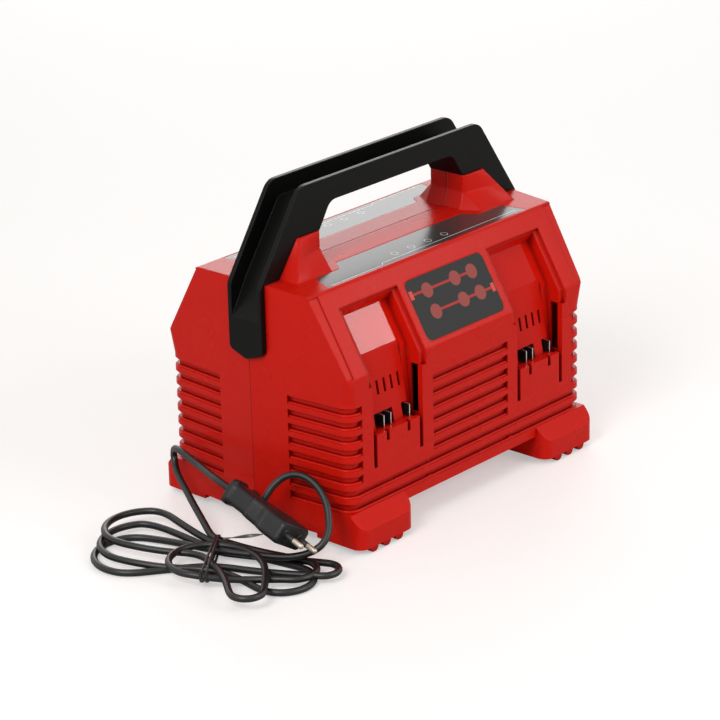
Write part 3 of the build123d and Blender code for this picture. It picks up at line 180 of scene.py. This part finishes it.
def moulded(name, light, dark, roughness, grain, relief, blotch=30.0, metallic=0.0, edge=0.0, specular=0.5):
    """A moulded or rolled surface. Slow noise of `blotch` cells a metre runs the colour from dark to light
    and the roughness from a tenth under to a tenth over. Fast noise of `grain` cells a metre gives a relief
    of `relief` metres. An edge radius in metres softens the light on sharp edges."""
    material = bpy.data.materials.new(name)
    material.use_nodes = True
    tree = material.node_tree
    shader = tree.nodes["Principled BSDF"]
    place = tree.nodes.new("ShaderNodeTexCoord")
    slow = tree.nodes.new("ShaderNodeTexNoise")
    slow.inputs["Scale"].default_value = blotch
    slow.inputs["Detail"].default_value = slow_detail
    fast = tree.nodes.new("ShaderNodeTexNoise")
    fast.inputs["Scale"].default_value = grain
    fast.inputs["Detail"].default_value = fast_detail
    tree.links.new(place.outputs["Object"], slow.inputs["Vector"])
    tree.links.new(place.outputs["Object"], fast.inputs["Vector"])
    tree.links.new(between_colours(tree, slow.outputs[0], dark, light), shader.inputs["Base Color"])
    gloss = tree.nodes.new("ShaderNodeMapRange")
    gloss.inputs["To Min"].default_value = roughness * 0.9
    gloss.inputs["To Max"].default_value = roughness * 1.1
    tree.links.new(slow.outputs[0], gloss.inputs["Value"])
    tree.links.new(gloss.outputs[0], shader.inputs["Roughness"])
    bump = tree.nodes.new("ShaderNodeBump")
    bump.inputs["Strength"].default_value = grain_strength
    if edge:
        rounded = tree.nodes.new("ShaderNodeBevel")
        rounded.samples = edge_samples
        rounded.inputs["Radius"].default_value = edge
        tree.links.new(rounded.outputs[0], bump.inputs["Normal"])
    bump.inputs["Distance"].default_value = relief
    tree.links.new(fast.outputs[0], bump.inputs["Height"])
    tree.links.new(bump.outputs[0], shader.inputs["Normal"])
    shader.inputs["Metallic"].default_value = metallic
    shader.inputs["Specular IOR Level"].default_value = specular
    return material


def dress(material, slot, *pieces):
    """Gives the pieces one material. The slot, the record's name for the material, is not used."""
    for piece in pieces:
        piece.data.materials.clear()
        piece.data.materials.append(material)


lead_pvc = moulded("lead_pvc", (0.009, 0.009, 0.0095), (0.005, 0.005, 0.005), 0.38, 900, 0.00006)
mains_lead = lead_curve("mains_lead", lead_route, lead_diameter)
dress(lead_pvc, "cord_rubber", mains_lead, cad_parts["mains_wires"])
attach(mains_lead, "root")
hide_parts("exit_cord", "cord_hank", "plug_cord")

# ---- Boot --------------------------------------------------------------------------------------
# The bent rubber boot that keeps the lead from kinking where it leaves the left end. It is moulded on
# the lead and held in the wall by its groove.
boot_rubber = moulded("boot_rubber", (0.018, 0.018, 0.018), (0.010, 0.010, 0.010), 0.55, 1400, 0.0001)
dress(boot_rubber, "cord_rubber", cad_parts["strain_relief"])

# ---- Plug --------------------------------------------------------------------------------------
# A moulded two-pin plug: soft black PVC with a flared collar behind, cross ribs for the fingers and a wide
# flat front. The round pins have black insulating sleeves for the half of their length next to the body.
plug_rear = np.array([-192.0, -16.0, 48.0])
plug_axis = np.array([-0.08, -0.964, -0.254])
plug_axis /= np.linalg.norm(plug_axis)
plug_side = np.array([0.845, 0.07, -0.53])
plug_side -= plug_axis * (plug_side @ plug_axis)
plug_side /= np.linalg.norm(plug_side)
plug_rise = np.cross(plug_axis, plug_side)
# along the plug: distance, width, thickness, corner radius, in mm
plug_shape = np.array([(0, 11, 12, 4.6), (0.8, 18.5, 19, 6), (1.6, 20.5, 20.8, 6), (5.0, 20.5, 20.8, 6),
                       (6.2, 19.4, 18.6, 5.6), (8.5, 18.6, 17.2, 5.4), (27, 20.2, 17.2, 5.4),
                       (28.2, 21.4, 18.2, 4.6), (41, 24, 18.6, 4.6), (50, 33.6, 19, 5), (54, 35, 19, 5),
                       (67.5, 35, 19, 5), (69.2, 34, 18, 4.8), (70, 31.5, 15.6, 4.2)])
plug_length, plug_rings_along = 70, 181
rib_start, rib_end, rib_pitch, rib_height = 29.0, 47.0, 2.0, 0.9
pin_foot_distance = 69.2      # where the pins stand, along the plug
pin_spread, pin_radius, pin_length = 9.5, 2.4, 19.0
sleeve_length, tip_radius = 9.0, 2.2


def skin(name, rings, smooth_angle=40):
    """A closed skin over a grid of rings (rings, points of a ring, 3). Each four neighbours make a face, the
    first and last ring are filled, and the sign of the enclosed volume turns the faces outwards."""
    count, around = rings.shape[:2]
    ring, step = np.meshgrid(np.arange(count - 1), np.arange(around), indexing="ij")
    beside = (step + 1) % around
    quads = np.stack([ring * around + step, ring * around + beside,
                      (ring + 1) * around + beside, (ring + 1) * around + step], axis=-1).reshape(-1, 4)
    points = rings.reshape(-1, 3)
    a, b, c, d = (points[quads[:, k]] for k in range(4))
    middle = points.mean(axis=0)
    volume = np.einsum("ij,ij->", np.cross(a - middle, b - middle), c - middle)
    volume += np.einsum("ij,ij->", np.cross(a - middle, c - middle), d - middle)
    ends = [np.arange(around)[::-1], np.arange(around) + (count - 1) * around]
    if volume < 0:
        quads = quads[:, ::-1]
        ends = [end[::-1] for end in ends]
    mesh = bpy.data.meshes.new(name)
    mesh.from_pydata(points.tolist(), [], quads.tolist() + [end.tolist() for end in ends])
    mesh.polygons.foreach_set("use_smooth", np.ones(len(mesh.polygons), bool))
    mesh.set_sharp_from_angle(angle=math.radians(smooth_angle))
    piece = bpy.data.objects.new(name, mesh)
    scene.collection.objects.link(piece)
    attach(piece, "root")
    return piece


def rounded_rings(shape, around=64):
    """Rounded rectangles, one a row of (distance, width, thickness, corner radius). The ring's point at angle
    a is its quarter's corner centre plus the radius times (cos a, sin a). Gives sides, rises, distances."""
    quarter = np.arange(around) // (around // 4)
    angle = (quarter + (np.arange(around) % (around // 4)) / (around // 4 - 1)) * math.pi / 2
    across = np.array([1, -1, -1, 1])[quarter]
    over = np.array([1, 1, -1, -1])[quarter]
    distance, width, thickness, corner = (shape[:, k:k + 1] for k in range(4))
    side = across * (width / 2 - corner) + corner * np.cos(angle)
    rise = over * (thickness / 2 - corner) + corner * np.sin(angle)
    return side, rise, distance + 0 * side


fine_distance = np.unique(np.concatenate([plug_shape[:, 0],
                                          np.linspace(0, plug_length, plug_rings_along)]))
fine_shape = np.column_stack([fine_distance] + [np.interp(fine_distance, plug_shape[:, 0], plug_shape[:, k])
                                                for k in (1, 2, 3)])
fine_shape[1:-1, 1:] = (fine_shape[:-2, 1:] + 2 * fine_shape[1:-1, 1:] + fine_shape[2:, 1:]) / 4
ribbed = (fine_distance > rib_start) & (fine_distance < rib_end)
fine_shape[ribbed, 1] += rib_height * np.sin((fine_distance[ribbed] - rib_start) * math.pi / rib_pitch) ** 2
side, rise, distance = rounded_rings(fine_shape)
plug_rings = plug_rear + (side[..., None] * plug_side + rise[..., None] * plug_rise
                          + distance[..., None] * plug_axis)
plug_body = skin("moulded_plug", plug_rings / 1000, 30)
plug_pvc = moulded("plug_pvc", (0.010, 0.010, 0.0105), (0.006, 0.006, 0.006), 0.42, 1600, 0.00010,
                   specular=0.4)
dress(plug_pvc, "plug_rubber", plug_body)
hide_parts("plug_body")


def turned(name, foot, way, outline, around=40):
    """A turned part: the outline's (distance, radius) pairs in mm spun about the line from foot along way."""
    outline = np.asarray(outline, float)
    first = np.cross(way, (0.0, 0.0, 1.0))
    first /= np.linalg.norm(first)
    second = np.cross(way, first)
    angle = np.linspace(0, 2 * math.pi, around, endpoint=False)[None, :, None]
    circle = np.cos(angle) * first + np.sin(angle) * second
    rings = foot + outline[:, :1, None] * way + outline[:, 1:2, None] * circle
    return skin(name, rings / 1000, 35)


pin_parts = []
for number, spread in ((1, -pin_spread), (2, pin_spread)):
    pin_foot = plug_rear + spread * plug_side + pin_foot_distance * plug_axis
    boss = turned(f"pin_boss_{number}", pin_foot, plug_axis,
                  [(-1, 4.2), (0.9, 4.2), (1.3, 3.9), (1.5, 3.4), (1.5, pin_radius - 0.4)])
    sleeve = turned(f"pin_sleeve_{number}", pin_foot, plug_axis,
                    [(0.4, 1.4), (0.4, pin_radius), (sleeve_length + 0.6, pin_radius),
                     (sleeve_length + 0.9, pin_radius - 0.2), (sleeve_length + 0.9, 1.4)])
    tip = turned(f"pin_tip_{number}", pin_foot, plug_axis,
                 [(sleeve_length, 0.4), (sleeve_length, tip_radius), (pin_length - 1.0, tip_radius),
                  (pin_length - 0.2, 1.95), (pin_length + 0.4, 1.4), (pin_length + 0.7, 0.7),
                  (pin_length + 0.78, 0.1)])
    pin_parts += [boss, sleeve, tip]
    dress(plug_pvc, "plug_rubber", boss, sleeve)
    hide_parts("plug_pins")
pin_nickel = moulded("pin_nickel", (0.62, 0.55, 0.44), (0.50, 0.43, 0.33), 0.3, 500, 0.00004, metallic=0.75)
dress(pin_nickel, "pin_metal", pin_parts[2], pin_parts[5])

# ---- Tie ---------------------------------------------------------------------------------------
# A flat black twist tie: two turns of a thin plastic strip round the waist of the hank, twisted together
# at the back, with one grey end left standing out.
tie_half, tie_top, tie_low = 37.0, 15.2, 1.0
tie_middle = -5.0             # middle of the turns, across the hank
side_square, end_square = 0.55, 0.4           # the lower, the squarer the turn's outline
front_lift, lift_below = 4.5, 0.2             # its front side is lifted below this sine of the turn's angle
tie_steps, tail_steps = 97, 40
strip_width, strip_thickness = 2.0, 0.9
strip_corner = 0.45           # corner radius over thickness
tail_start, tail_run = np.array([5.0, 25.0, 12.5]), np.array([30.0, 2.0, 3.5])
tail_width, tail_thickness, tail_twist, twist_growth = 2.8, 0.8, 3.6, 1.4


def strip(name, route, width, thickness, facing):
    """A flat strip along a route: at each point a rounded rectangle, its thickness along the facing direction
    and its width across both the facing and the way of the route."""
    way = np.gradient(route, axis=0)
    way /= np.linalg.norm(way, axis=1, keepdims=True)
    facing = facing - way * np.einsum("ij,ij->i", facing, way)[:, None]
    facing /= np.linalg.norm(facing, axis=1, keepdims=True)
    across = np.cross(way, facing)
    outline = np.tile([[0, width, thickness, thickness * strip_corner]], (len(route), 1)).astype(float)
    side, rise, _ = rounded_rings(outline, 16)
    return skin(name, (route[:, None] + side[..., None] * across[:, None]
                       + rise[..., None] * facing[:, None]) / 1000)


tie_pvc = moulded("tie_pvc", (0.020, 0.020, 0.020), (0.010, 0.010, 0.010), 0.38, 700, 0.00006)
tie_grey = moulded("tie_grey", (0.20, 0.19, 0.18), (0.12, 0.115, 0.11), 0.35, 700, 0.00006)
tie_pieces = []
for number, shift, lean in ((1, -1.5, 0.8), (2, 1.3, -0.7)):
    turn = np.linspace(0, 2 * math.pi, tie_steps)
    v = tie_half * np.sign(np.cos(turn)) * np.abs(np.cos(turn)) ** side_square + tie_middle
    z = (tie_top - tie_low) / 2 * np.sign(np.sin(turn)) * np.abs(np.sin(turn)) ** end_square
    lift = front_lift * np.clip(-np.cos(turn), 0, 1) ** 2 * (np.sin(turn) < lift_below)
    z += (tie_top + tie_low) / 2 + lift
    u = shift + lean * np.sin(turn + number)
    flat = hank_origin + u[:, None] * hank_run + v[:, None] * hank_across
    route = np.column_stack([flat, z])
    out = np.column_stack([np.cos(turn)[:, None] * hank_across, np.sin(turn)])
    tie_pieces.append(strip(f"tie_turn_{number}", route, strip_width, strip_thickness, out))
along = np.linspace(0, 1, tail_steps)
tail_points = tail_start + along[:, None] * tail_run
tail_flat = hank_origin + tail_points[:, :1] * hank_run + tail_points[:, 1:2] * hank_across
twist = tail_twist * along ** twist_growth
tail_out = np.column_stack([np.sin(twist)[:, None] * hank_across, np.cos(twist)])
tie_tail = strip("tie_tail", np.column_stack([tail_flat, tail_points[:, 2]]), tail_width, tail_thickness,
                 tail_out)
dress(tie_pvc, "tie_plastic", *tie_pieces)
dress(tie_grey, "tie_plastic", tie_tail)
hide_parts("cord_tie")

# ---- Housing -----------------------------------------------------------------------------------
# Two red ABS half shells that meet on the long middle plane and are screwed together from the rear.
# The mould leaves a fine even grain. A dark hairline shows where the halves meet, and shade is painted into
# the cooling grooves and inner corners as a deeper red. The sloping floor of each port is polished.
red_light, red_dark = (0.66, 0.0100, 0.0032), (0.61, 0.0075, 0.0026)
joint_half = 0.00022
# the hairline's colour, and the deeper red that is painted as shade in grooves and corners
joint_colour, painted_shade_red = (0.10, 0.004, 0.003), (0.20, 0.0015, 0.001)
shade_reach, shade_full_below, shade_none_above = 0.011, 0.25, 0.75     # open share below which the painted shade is full, and above which the red is plain
crease_softness, groove_band_top = 0.0026, 0.1335
node_samples = 8
slope_out, slope_up = 0.8584, 0.5130          # the way a sloping face looks: outwards and upwards
port_floor_offset, floor_match = 0.1414, 0.0005
port_floor_roughness = 0.05

housing_red = moulded("housing_red", red_light, red_dark, 0.27, 1000, 0.00016, blotch=14, specular=0.13)
tree = housing_red.node_tree
shader = tree.nodes["Principled BSDF"]
_, across, up = object_axes(tree)
depth = calc(tree, "ABSOLUTE", across)
hairline = calc(tree, "LESS_THAN", depth, joint_half)
offset = calc(tree, "ADD", calc(tree, "MULTIPLY", depth, slope_out), calc(tree, "MULTIPLY", up, slope_up))
polished = calc(tree, "COMPARE", offset, port_floor_offset, floor_match)
grained = calc(tree, "SUBTRACT", 1.0, polished)
satin = shader.inputs["Roughness"].links[0].from_socket
tree.links.new(calc(tree, "ADD", calc(tree, "MULTIPLY", satin, grained),
                    calc(tree, "MULTIPLY", polished, port_floor_roughness)), shader.inputs["Roughness"])
softened = tree.nodes.new("ShaderNodeBevel")
softened.samples = node_samples
softened.inputs["Radius"].default_value = crease_softness
flat_way = tree.nodes.new("ShaderNodeNewGeometry")
which_way = tree.nodes.new("ShaderNodeMix")
which_way.data_type = "VECTOR"
above_grooves = calc(tree, "GREATER_THAN", up, groove_band_top)
tree.links.new(calc(tree, "MULTIPLY", above_grooves, grained), which_way.inputs[0])
tree.links.new(flat_way.outputs["Normal"], which_way.inputs[4])
tree.links.new(softened.outputs[0], which_way.inputs[5])
grain_bump = shader.inputs["Normal"].links[0].from_node
tree.links.new(which_way.outputs[1], grain_bump.inputs["Normal"])
grain_height = grain_bump.inputs["Height"].links[0].from_socket
tree.links.new(calc(tree, "MULTIPLY", grain_height, grained), grain_bump.inputs["Height"])
plain = shader.inputs["Base Color"].links[0].from_socket
# painted shade: ambient occlusion runs the red down to the painted shade red in grooves and inner corners
occlusion_shade = tree.nodes.new("ShaderNodeAmbientOcclusion")
occlusion_shade.samples = node_samples
occlusion_shade.inputs["Distance"].default_value = shade_reach
unshaded_share = tree.nodes.new("ShaderNodeMapRange")
unshaded_share.inputs["From Min"].default_value = shade_full_below
unshaded_share.inputs["From Max"].default_value = shade_none_above
tree.links.new(occlusion_shade.outputs["AO"], unshaded_share.inputs["Value"])
tree.links.new(between_colours(tree, unshaded_share.outputs[0], painted_shade_red, plain), shader.inputs["Base Color"])
print_over(tree, hairline, joint_colour)
dress(housing_red, "housing_plastic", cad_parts["front_housing"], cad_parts["rear_housing"])

# ---- Handle ------------------------------------------------------------------------------------
# One glass-filled black nylon moulding: the grip bar and two legs, with an open channel on the outside.
# It is coarser grained than the housing and a little shiny.
handle_black = moulded("handle_black", (0.0055, 0.0055, 0.0050), (0.0035, 0.0035, 0.0032), 0.34, 1300,
                       0.00014, blotch=20, edge=0.0012, specular=0.12)
dress(handle_black, "handle_plastic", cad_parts["carry_handle"])

# ---- Top strips --------------------------------------------------------------------------------
# Dark smoked polycarbonate strips let into the crowned top over the lights, glossy, with a fine pale line
# that jogs once and a row of four pale rings over the lights.
print_pale = (0.70, 0.70, 0.69)
# pale lines as rectangles: middle along and away from the parting plane, half length, half width
pale_lines = [(0.030, 0.0505, 0.082, 0.00035), (-0.085, 0.0538, 0.0298, 0.00035)]
jog_shift, jog_middle, jog_half, jog_width = -0.0014, -0.0536, 0.0018, 0.0004
light_places, light_row, ring_radius, ring_width = (-0.030, -0.010, 0.010, 0.030), 0.044, 0.0029, 0.0003


def half_places(tree):
    """Where a point lies on its own half: along, away from the parting plane, and up. The rear half is the
    front one turned by half a turn, so along = x times the opposite of the sign of y, and away = the size
    of y."""
    x, y, z = object_axes(tree)
    turned_half = calc(tree, "MULTIPLY", calc(tree, "SIGN", y), -1.0)
    return calc(tree, "MULTIPLY", x, turned_half), calc(tree, "ABSOLUTE", y), z


def bar(tree, first, second, middle, half):
    """1 inside a rectangle of two places, from its middle and its half sizes."""
    return calc(tree, "MULTIPLY", calc(tree, "COMPARE", second, middle[1], half[1]),
                calc(tree, "COMPARE", first, middle[0], half[0]))


def away_from(tree, first, second, centre):
    """Distance from a centre = square root of (first - its first) squared + (second - its second) squared."""
    squares = [calc(tree, "POWER", calc(tree, "SUBTRACT", place, part), 2.0)
               for place, part in zip((first, second), centre)]
    return calc(tree, "SQRT", calc(tree, "ADD", *squares))


strip_smoke = moulded("strip_smoke", (0.055, 0.052, 0.052), (0.040, 0.038, 0.038), 0.2, 60, 0.00004,
                      blotch=8, specular=0.4)
tree = strip_smoke.node_tree
x_along, depth, _ = half_places(tree)
jog = calc(tree, "ADD", calc(tree, "MULTIPLY", x_along, -1.0), jog_shift)
prints = calc(tree, "MULTIPLY", calc(tree, "COMPARE", depth, jog, jog_width),
              calc(tree, "COMPARE", x_along, jog_middle, jog_half))
for line_x, line_depth, line_half, line_width in pale_lines:
    line = bar(tree, x_along, depth, (line_x, line_depth), (line_half, line_width))
    prints = calc(tree, "MAXIMUM", prints, line)
for light_x in light_places:
    away = away_from(tree, x_along, depth, (light_x, light_row))
    prints = calc(tree, "MAXIMUM", prints, calc(tree, "COMPARE", away, ring_radius, ring_width))
print_over(tree, prints, print_pale)
dress(strip_smoke, "panel_film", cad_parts["front_top_panel"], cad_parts["rear_top_panel"])

# ---- Labels ------------------------------------------------------------------------------------
# A dark grey printed film, stuck on each slope between the ports. It has two rows of three discs, each row
# joined by a line that ends in a small red tab at the film's edge.
slope_foot, slope_rise = 0.140, 0.8581
disc_radius, row_line, tab_half = 0.0061, 0.00105, (0.0020, 0.0036)
line_red, disc_red, tab_red = (0.46, 0.030, 0.022), (0.33, 0.065, 0.055), (0.72, 0.085, 0.060)
disc_rows = [((-0.0255, 0.0427), (0.0081, 0.0432), (0.0285, 0.0433)),
             ((-0.0257, 0.0248), (0.0079, 0.0251), (0.0283, 0.0251))]
row_tabs = [(-0.0440, 0.0430), (0.0440, 0.0250)]

label_film = moulded("label_film", (0.019, 0.021, 0.019), (0.014, 0.016, 0.015), 0.45, 900, 0.00005,
                     specular=0.22)
tree = label_film.node_tree
x_along, _, up = half_places(tree)
up_slope = calc(tree, "DIVIDE", calc(tree, "SUBTRACT", up, slope_foot), slope_rise)
marks, lines, tabs = 0.0, 0.0, 0.0
for row, tab in zip(disc_rows, row_tabs):
    for disc in row:
        away = away_from(tree, x_along, up_slope, disc)
        marks = calc(tree, "MAXIMUM", marks, calc(tree, "LESS_THAN", away, disc_radius))
    ends = sorted((tab[0], row[0][0] if tab[0] > 0 else row[2][0]))
    line_middle, line_half = (sum(ends) / 2, row[1][1]), ((ends[1] - ends[0]) / 2, row_line)
    lines = calc(tree, "MAXIMUM", lines, bar(tree, x_along, up_slope, line_middle, line_half))
    tabs = calc(tree, "MAXIMUM", tabs, bar(tree, x_along, up_slope, tab, tab_half))
print_over(tree, lines, line_red)
print_over(tree, marks, disc_red)
print_over(tree, tabs, tab_red)
dress(label_film, "label_film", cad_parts["front_label"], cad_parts["rear_label"])

# ---- Port contacts -----------------------------------------------------------------------------
# In each port a black holder stands behind the opening and carries the tinned brass blades. Their broad sides
# are coloured dark as a painted reflection of the dark holder, and their edges get a painted highlight.
# Red wires go from it down to the board.
edge_highlight_colour, edge_highlight_limit = (0.92, 0.88, 0.84), 0.5
holder_black = moulded("holder_black", (0.014, 0.013, 0.013), (0.008, 0.008, 0.008), 0.5, 1500, 0.0001)
# the blades' dark colour is a painted reflection of the dark holder mirrored in their broad sides
blade_tin = moulded("blade_tin", (0.11, 0.075, 0.070), (0.07, 0.045, 0.042), 0.26, 300, 0.00003,
                    metallic=0.85)
tree = blade_tin.node_tree
# painted highlight: faces that do not look along x are painted pale
looks_along, _, _ = object_axes(tree, "Normal")
edge_highlight = calc(tree, "LESS_THAN", calc(tree, "ABSOLUTE", looks_along), edge_highlight_limit)
print_over(tree, edge_highlight, edge_highlight_colour)
wire_pvc = moulded("wire_pvc", (0.35, 0.02, 0.02), (0.25, 0.012, 0.012), 0.4, 800, 0.00004)
for number in (1, 2, 3, 4):
    dress(holder_black, "holder_plastic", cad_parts[f"contact_holder_{number}"])
    dress(blade_tin, "contact_metal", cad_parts[f"contact_blades_{number}"])
    dress(wire_pvc, "wire_sleeve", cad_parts[f"port_wires_{number}"])

# ---- Lights ------------------------------------------------------------------------------------
# Clear moulded light pipes stand in a row on each of the small boards under the top strips.
light_passes = 0.35
light_clear = moulded("light_clear", (0.70, 0.62, 0.60), (0.60, 0.52, 0.50), 0.15, 200, 0.00003)
light_clear.node_tree.nodes["Principled BSDF"].inputs["Transmission Weight"].default_value = light_passes
dress(light_clear, "light_pipe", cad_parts["front_lights"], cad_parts["rear_lights"])

# ---- Screws ------------------------------------------------------------------------------------
# Zinc-plated thread-forming screws with recessed pan heads hold the housing, the handle and the boards.
screw_zinc = moulded("screw_zinc", (0.52, 0.51, 0.49), (0.38, 0.37, 0.35), 0.35, 1800, 0.00005, metallic=1.0)
dress(screw_zinc, "screw_steel", *(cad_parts[name] for name in
                                   ("board_screws", "housing_screws", "handle_screws")))

# ---- Power board -------------------------------------------------------------------------------
# Inside, a green fibreglass board carries the transformer, capacitors, choke, fuse, heat sink and
# connectors. Each part has the finish of its kind: ferrite, enamelled copper, sleeved cans, bare aluminium.
board_green = moulded("board_green", (0.020, 0.16, 0.060), (0.010, 0.10, 0.035), 0.35, 120, 0.00006,
                      blotch=160)
ferrite_grey = moulded("ferrite_grey", (0.055, 0.052, 0.050), (0.035, 0.034, 0.033), 0.6, 1500, 0.0002)
copper_enamel = moulded("copper_enamel", (0.60, 0.20, 0.07), (0.42, 0.12, 0.04), 0.3, 700, 0.0003,
                        metallic=0.8)
can_sleeve = moulded("can_sleeve", (0.025, 0.030, 0.055), (0.015, 0.018, 0.035), 0.3, 300, 0.00005)
sink_aluminium = moulded("sink_aluminium", (0.62, 0.63, 0.64), (0.50, 0.51, 0.52), 0.4, 900, 0.00006,
                         metallic=1.0)
epoxy_black = moulded("epoxy_black", (0.022, 0.022, 0.022), (0.014, 0.014, 0.014), 0.5, 1600, 0.0001)
fuse_glass = moulded("fuse_glass", (0.75, 0.76, 0.74), (0.62, 0.63, 0.61), 0.12, 100, 0.00002)
clamp_nylon = moulded("clamp_nylon", (0.58, 0.56, 0.50), (0.48, 0.46, 0.41), 0.45, 900, 0.0001)
terminal_grey = moulded("terminal_grey", (0.30, 0.31, 0.31), (0.22, 0.23, 0.23), 0.45, 900, 0.0001)
board_parts = [
    (board_green, "circuit_board", ("power_board", "front_indicator_board", "rear_indicator_board")),
    (ferrite_grey, "ferrite", ("transformer_core",)),
    (copper_enamel, "copper", ("transformer_winding", "line_choke")),
    (can_sleeve, "capacitor_sleeve", ("bulk_capacitors",)),
    (sink_aluminium, "aluminium", ("heat_sink",)),
    (epoxy_black, "transistor_plastic", ("power_transistors",)),
    (fuse_glass, "fuse_glass", ("fuse_holder",)),
    (clamp_nylon, "clamp_plastic", ("cord_clamp",)),
    (terminal_grey, "terminal_plastic", ("mains_terminal", "output_connectors")),
]
for material, slot, names in board_parts:
    dress(material, slot, *(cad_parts[name] for name in names))

# ---- Floor and light ---------------------------------------------------------------------------
# A pale warm floor that runs out to white, three wide soft lamps and a plain white surrounding. A small
# bright lamp at the right is seen mirrored in the polished floor of the near port.
floor_pale, glow_pale = (0.70, 0.69, 0.685, 1), (1.0, 0.98, 0.96, 1)
floor_reach, floor_level, floor_glow = 9, -0.0002, 0.42
surround_pale = (1.0, 0.985, 0.97, 1)
surround_light, surround_seen = 0.32, 0.68    # the second is added only where the surrounding is seen

floor_mesh = bpy.data.meshes.new("floor")
floor_mesh.from_pydata([(x * floor_reach, y * floor_reach, floor_level)
                        for x, y in ((-1, -1), (1, -1), (1, 1), (-1, 1))], [], [(0, 1, 2, 3)])
floor = bpy.data.objects.new("floor", floor_mesh)
scene.collection.objects.link(floor)
floor_paint = bpy.data.materials.new("floor_paint")
floor_paint.use_nodes = True
tree = floor_paint.node_tree
shader = tree.nodes["Principled BSDF"]
shader.inputs["Base Color"].default_value = floor_pale
shader.inputs["Roughness"].default_value = 0.7
rays = tree.nodes.new("ShaderNodeLightPath")
shader.inputs["Emission Color"].default_value = glow_pale
tree.links.new(calc(tree, "MULTIPLY", rays.outputs["Is Camera Ray"], floor_glow),
               shader.inputs["Emission Strength"])
floor_mesh.materials.append(floor_paint)

world = bpy.data.worlds.new("surrounding")
scene.world = world
world.use_nodes = True
tree = world.node_tree
tree.nodes["Background"].inputs["Color"].default_value = surround_pale
rays = tree.nodes.new("ShaderNodeLightPath")
mirrored = calc(tree, "MAXIMUM", rays.outputs["Is Glossy Ray"], rays.outputs["Is Transmission Ray"])
shown = calc(tree, "MAXIMUM", mirrored, rays.outputs["Is Camera Ray"])
tree.links.new(calc(tree, "ADD", calc(tree, "MULTIPLY", shown, surround_seen), surround_light),
               tree.nodes["Background"].inputs["Strength"])


def soft_lamp(name, place, target, size, watts):
    """A square area lamp at place that faces target."""
    lamp = bpy.data.lights.new(name, "AREA")
    lamp.size = size
    lamp.energy = watts
    holder = bpy.data.objects.new(name, lamp)
    back = np.array(place, float) - np.array(target, float)
    back /= np.linalg.norm(back)
    right = np.cross((0.0, 1.0, 0.001), back)
    right /= np.linalg.norm(right)
    matrix = np.eye(4)
    matrix[:3, :3] = np.stack([right, np.cross(back, right), back], axis=1)
    matrix[:3, 3] = place
    holder.matrix_world = matrix.T.tolist()
    scene.collection.objects.link(holder)


soft_lamp("lamp_back", (2.15, 1.95, 1.30), (0, 0, 0.2), 1.9, 21)
soft_lamp("lamp_left", (-1.7, -0.4, 1.5), (0, 0, 0.1), 1.0, 23)
soft_lamp("lamp_front", (0.5, -2.2, 1.3), (0, 0, 0.1), 1.2, 17)
soft_lamp("lamp_spark", (1.030, -1.034, 0.776), (-0.088, -0.068, 0.160), 0.15, 1.2)

scene.view_settings.view_transform = "Standard"
